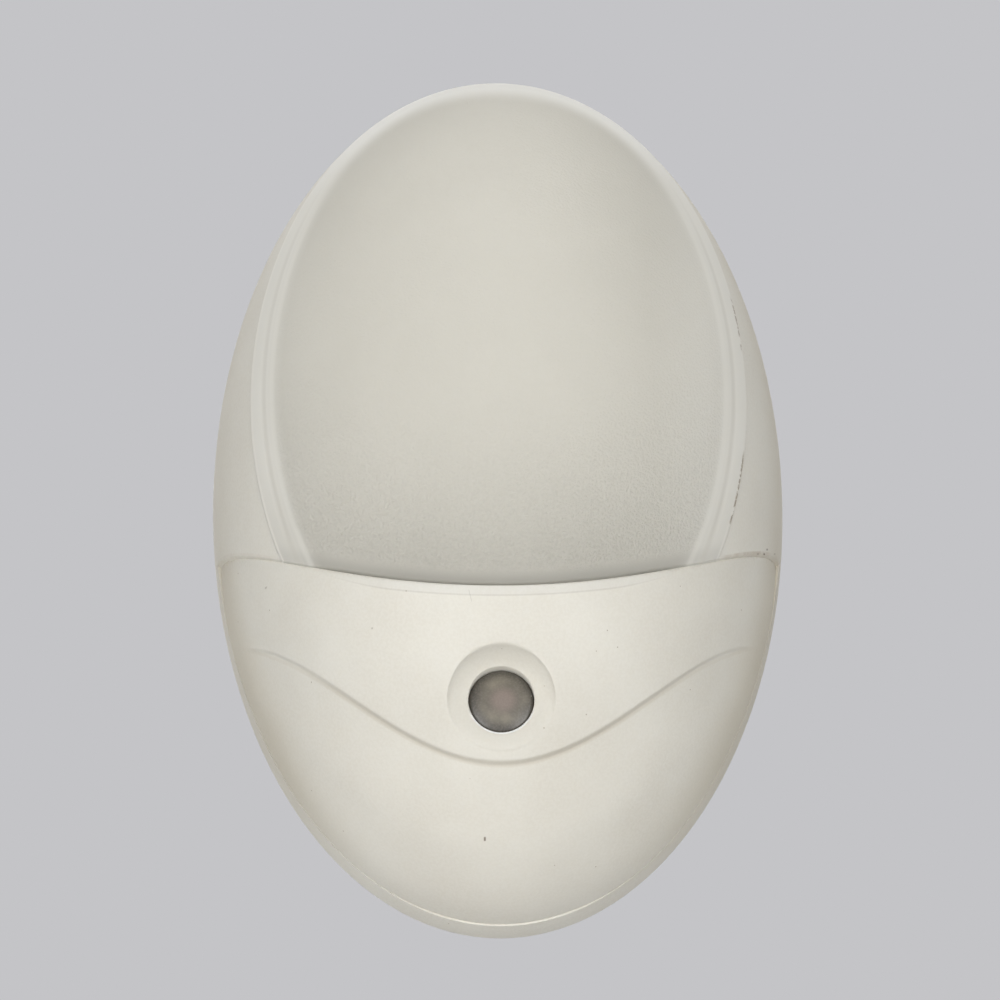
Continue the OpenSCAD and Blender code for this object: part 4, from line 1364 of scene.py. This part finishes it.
def screw_cap(material):
    """The lamp's thin brass cap with its rolled thread, open above, with a holed floor below."""
    solid = Solid()
    t = np.linspace(0, 2 * math.pi, CAP_STEPS, endpoint=False)

    def sleeve(z, drop):
        fade = smooth_step(*THREAD_STARTS, z) * (1 - smooth_step(*THREAD_ENDS, z))
        wave = 0.5 - 0.5 * np.cos(2 * math.pi * z / THREAD_PITCH - t)
        return solid.add(lamp_ring(CAP_R - drop - THREAD_DEPTH * wave * fade, z, CAP_STEPS))

    # the inside goes back down, but ends three rows above the floor's outside
    heights = np.linspace(CAP_LOW + 0.3, CAP_HIGH, CAP_STEPS)
    outer = [sleeve(z, 0) for z in heights]
    inner = [sleeve(z, CAP_WALL) for z in heights[::-1][:-3]]
    floor = [(CAP_R - 1.0, CAP_LOW + CAP_WALL), (CAP_HOLE_R, CAP_LOW + CAP_WALL), (CAP_HOLE_R, CAP_LOW),
             (CAP_R - 0.75, CAP_LOW), (CAP_R - 0.3, CAP_LOW + 0.08)]
    bottom = [solid.add(lamp_ring(r, z, CAP_STEPS)) for r, z in floor]
    solid.strips(outer + inner + bottom + [outer[0]])
    attach(solid.object("lamp_screw_cap", material, 50), "lamp", "brass", "lamp_base")


def solder_tip(material):
    """The lamp's soldered tip, a low dome."""
    solid = Solid()
    solid.tube([solid.add(lamp_ring(r, z, TIP_STEPS)) for r, z in TIP_PROFILE])
    attach(solid.object("lamp_solder_tip", material, 50), "lamp_tip", "solder", "lamp_tip")


def coiled_filament(material):
    """A fine coil of wire bowed between the two supports."""
    solid = Solid()
    share = np.linspace(0, 1, COIL_TURNS * COIL_POINTS + 1)
    bend = share * math.pi
    spin = share * COIL_TURNS * 2 * math.pi
    out = stack(np.cos(bend), 0, np.sin(bend))
    side = np.array([0, 1.0, 0])
    path = COIL_BOW_R * out + [0, LAMP_Y, COIL_Z]
    path += COIL_R * (np.cos(spin)[:, None] * out + np.sin(spin)[:, None] * side)
    along = unit(np.gradient(path, axis=0))
    first = unit(np.cross(along, out))
    second = np.cross(along, first)
    cos, sin = (values[:, None] * COIL_WIRE_R for values in circle(COIL_SIDES))
    solid.tube([solid.add(p + cos * one + sin * two) for p, one, two in zip(path, first, second)])
    attach(solid.object("lamp_filament_coil", material, 60), "lamp", "lamp_wire", "filament")


# ---- light and camera

VIEW_TURN = 0.6
VIEW_ROLL = -0.4
VIEW_FAR = 2400
PIXELS_PER_MM = 8.95
PAGE = 1000
SENSOR_MM = 36
AIM = Vector((0.12, -14.0, -3.05))
FLOOR_Z = -2500
FLOOR_REACH = 3000
FLOOR_PALE = 0.8
PAGE_GREY = rgb(196, 196, 199)
GLOW = (1.0, 0.99, 0.97)
GLOW_STRENGTH = 0.157
LIGHT_FAR = 1.1

# name, azimuth and elevation in degrees, size in metres, strength, and whether reflections show it
SOFTBOXES = [
    ("key_left", -32, -12, 0.6, 0.475, True),
    ("key_right", 30, -12, 0.6, 0.5, True),
    ("top", 0, 78, 0.8, 0.48, True),
    ("side_left", -82, -20, 0.6, 0.13, False),
    ("side_right", 82, -20, 0.6, 0.03, False),
    ("back", 180, 25, 0.9, 0.95, False),
    ("from_below", 0, -86, 1.0, 0.235, False),
]


def direction(azimuth, elevation):
    """The direction from the object to a place round it; azimuth 0 is the front."""
    a, e = math.radians(azimuth), math.radians(elevation)
    return Vector((math.sin(a) * math.cos(e), -math.cos(a) * math.cos(e), math.sin(e)))


def point(made, away, place, roll=0.0):
    """Sets an object at a place in metres, looking back along a direction."""
    made.location = place
    made.rotation_mode = "QUATERNION"
    made.rotation_quaternion = (-away).to_track_quat("-Z", "Y") @ Quaternion((0, 0, 1), roll)


def set_camera():
    """A long lens from below, as the photograph was taken."""
    back = direction(-VIEW_TURN, VIEW_RISE)
    data = bpy.data.cameras.new("camera")
    data.sensor_width = SENSOR_MM
    data.lens = SENSOR_MM * VIEW_FAR * PIXELS_PER_MM / PAGE
    data.clip_start = 0.01
    data.clip_end = 30
    camera = linked("camera", data)
    point(camera, back, (AIM + back * VIEW_FAR) * MM, math.radians(VIEW_ROLL))
    bpy.context.scene.camera = camera


def softbox(name, azimuth, elevation, size, strength, mirrored):
    """A square area light that points at the object; strength 1 lights it fully by itself."""
    away = direction(azimuth, elevation)
    data = bpy.data.lights.new(name, "AREA")
    data.shape = "SQUARE"
    data.size = size
    data.energy = strength * (math.pi * LIGHT_FAR) ** 2
    lamp = linked(name, data)
    lamp.visible_glossy = mirrored
    point(lamp, away, away * LIGHT_FAR)


def set_world():
    """Even pale light all round, and a pale background for the camera and for reflections."""
    world = bpy.data.worlds.new("studio")
    bpy.context.scene.world = world
    world.use_nodes = True
    w = Nodes(world.node_tree)
    glow = world.node_tree.nodes["Background"]
    w.feed(glow.inputs["Color"], GLOW)
    w.feed(glow.inputs["Strength"], GLOW_STRENGTH)
    page = w.add("ShaderNodeBackground", {}, {"Color": PAGE_GREY})
    mixed = w.add("ShaderNodeMixShader", {}, {0: w.shown(), 1: Socket(w, glow.outputs[0]), 2: page})
    w.feed(world.node_tree.nodes["World Output"].inputs["Surface"], mixed)


def studio_floor():
    """A pale floor well below the object, out of the way of a camera that looks up."""
    solid = Solid()
    reach = FLOOR_REACH
    corners = ((-reach, -reach), (reach, -reach), (reach, reach), (-reach, reach))
    solid.fan(solid.add([(x, y, FLOOR_Z) for x, y in corners]))
    f = Finish("floor_paint", Roughness=0.8)
    f.set(Base_Color=f.mix(f.noise(300, 2), rgb(214, 214, 214), rgb(222, 222, 221)))
    pale = f.add("ShaderNodeEmission", {}, {"Color": PAGE_GREY, "Strength": 1.0})
    mixed = f.add("ShaderNodeMixShader", {}, {
        0: f.shown() * FLOOR_PALE, 1: Socket(f, f.shader.outputs[0]), 2: pale})
    f.feed(f.tree.nodes["Material Output"].inputs["Surface"], mixed)
    solid.object("studio_floor", f.material)


# ---- the whole scene

def dress(finishes):
    """Gives every CAD node the finish that its slot's name asks for."""
    for node in CAD.values():
        for slot in node.material_slots:
            slot.material = finishes[slot.material.name.split(".")[0]]


def build():
    set_camera()
    set_world()
    for box in SOFTBOXES:
        softbox(*box)
    studio_floor()
    finishes = make_finishes()
    brass = finishes["brass"]
    front_cover(finishes["cover_plastic"])
    lens(finishes["lens_plastic"])
    window(finishes["window_plastic"])
    for node in ("line_blade", "neutral_blade"):
        plate = softened(node, node + "_plate", BLADE_CORNER_R, brass)
        attach(plate, "housing", "brass", node)
    all_screws(finishes["screw_steel"])
    screw_cap(brass)
    solder_tip(finishes["solder"])
    coiled_filament(finishes["lamp_wire"])
    dress(finishes)


build()

bpy.context.view_layer.update()

bpy.context.scene.view_settings.view_transform = "Standard"
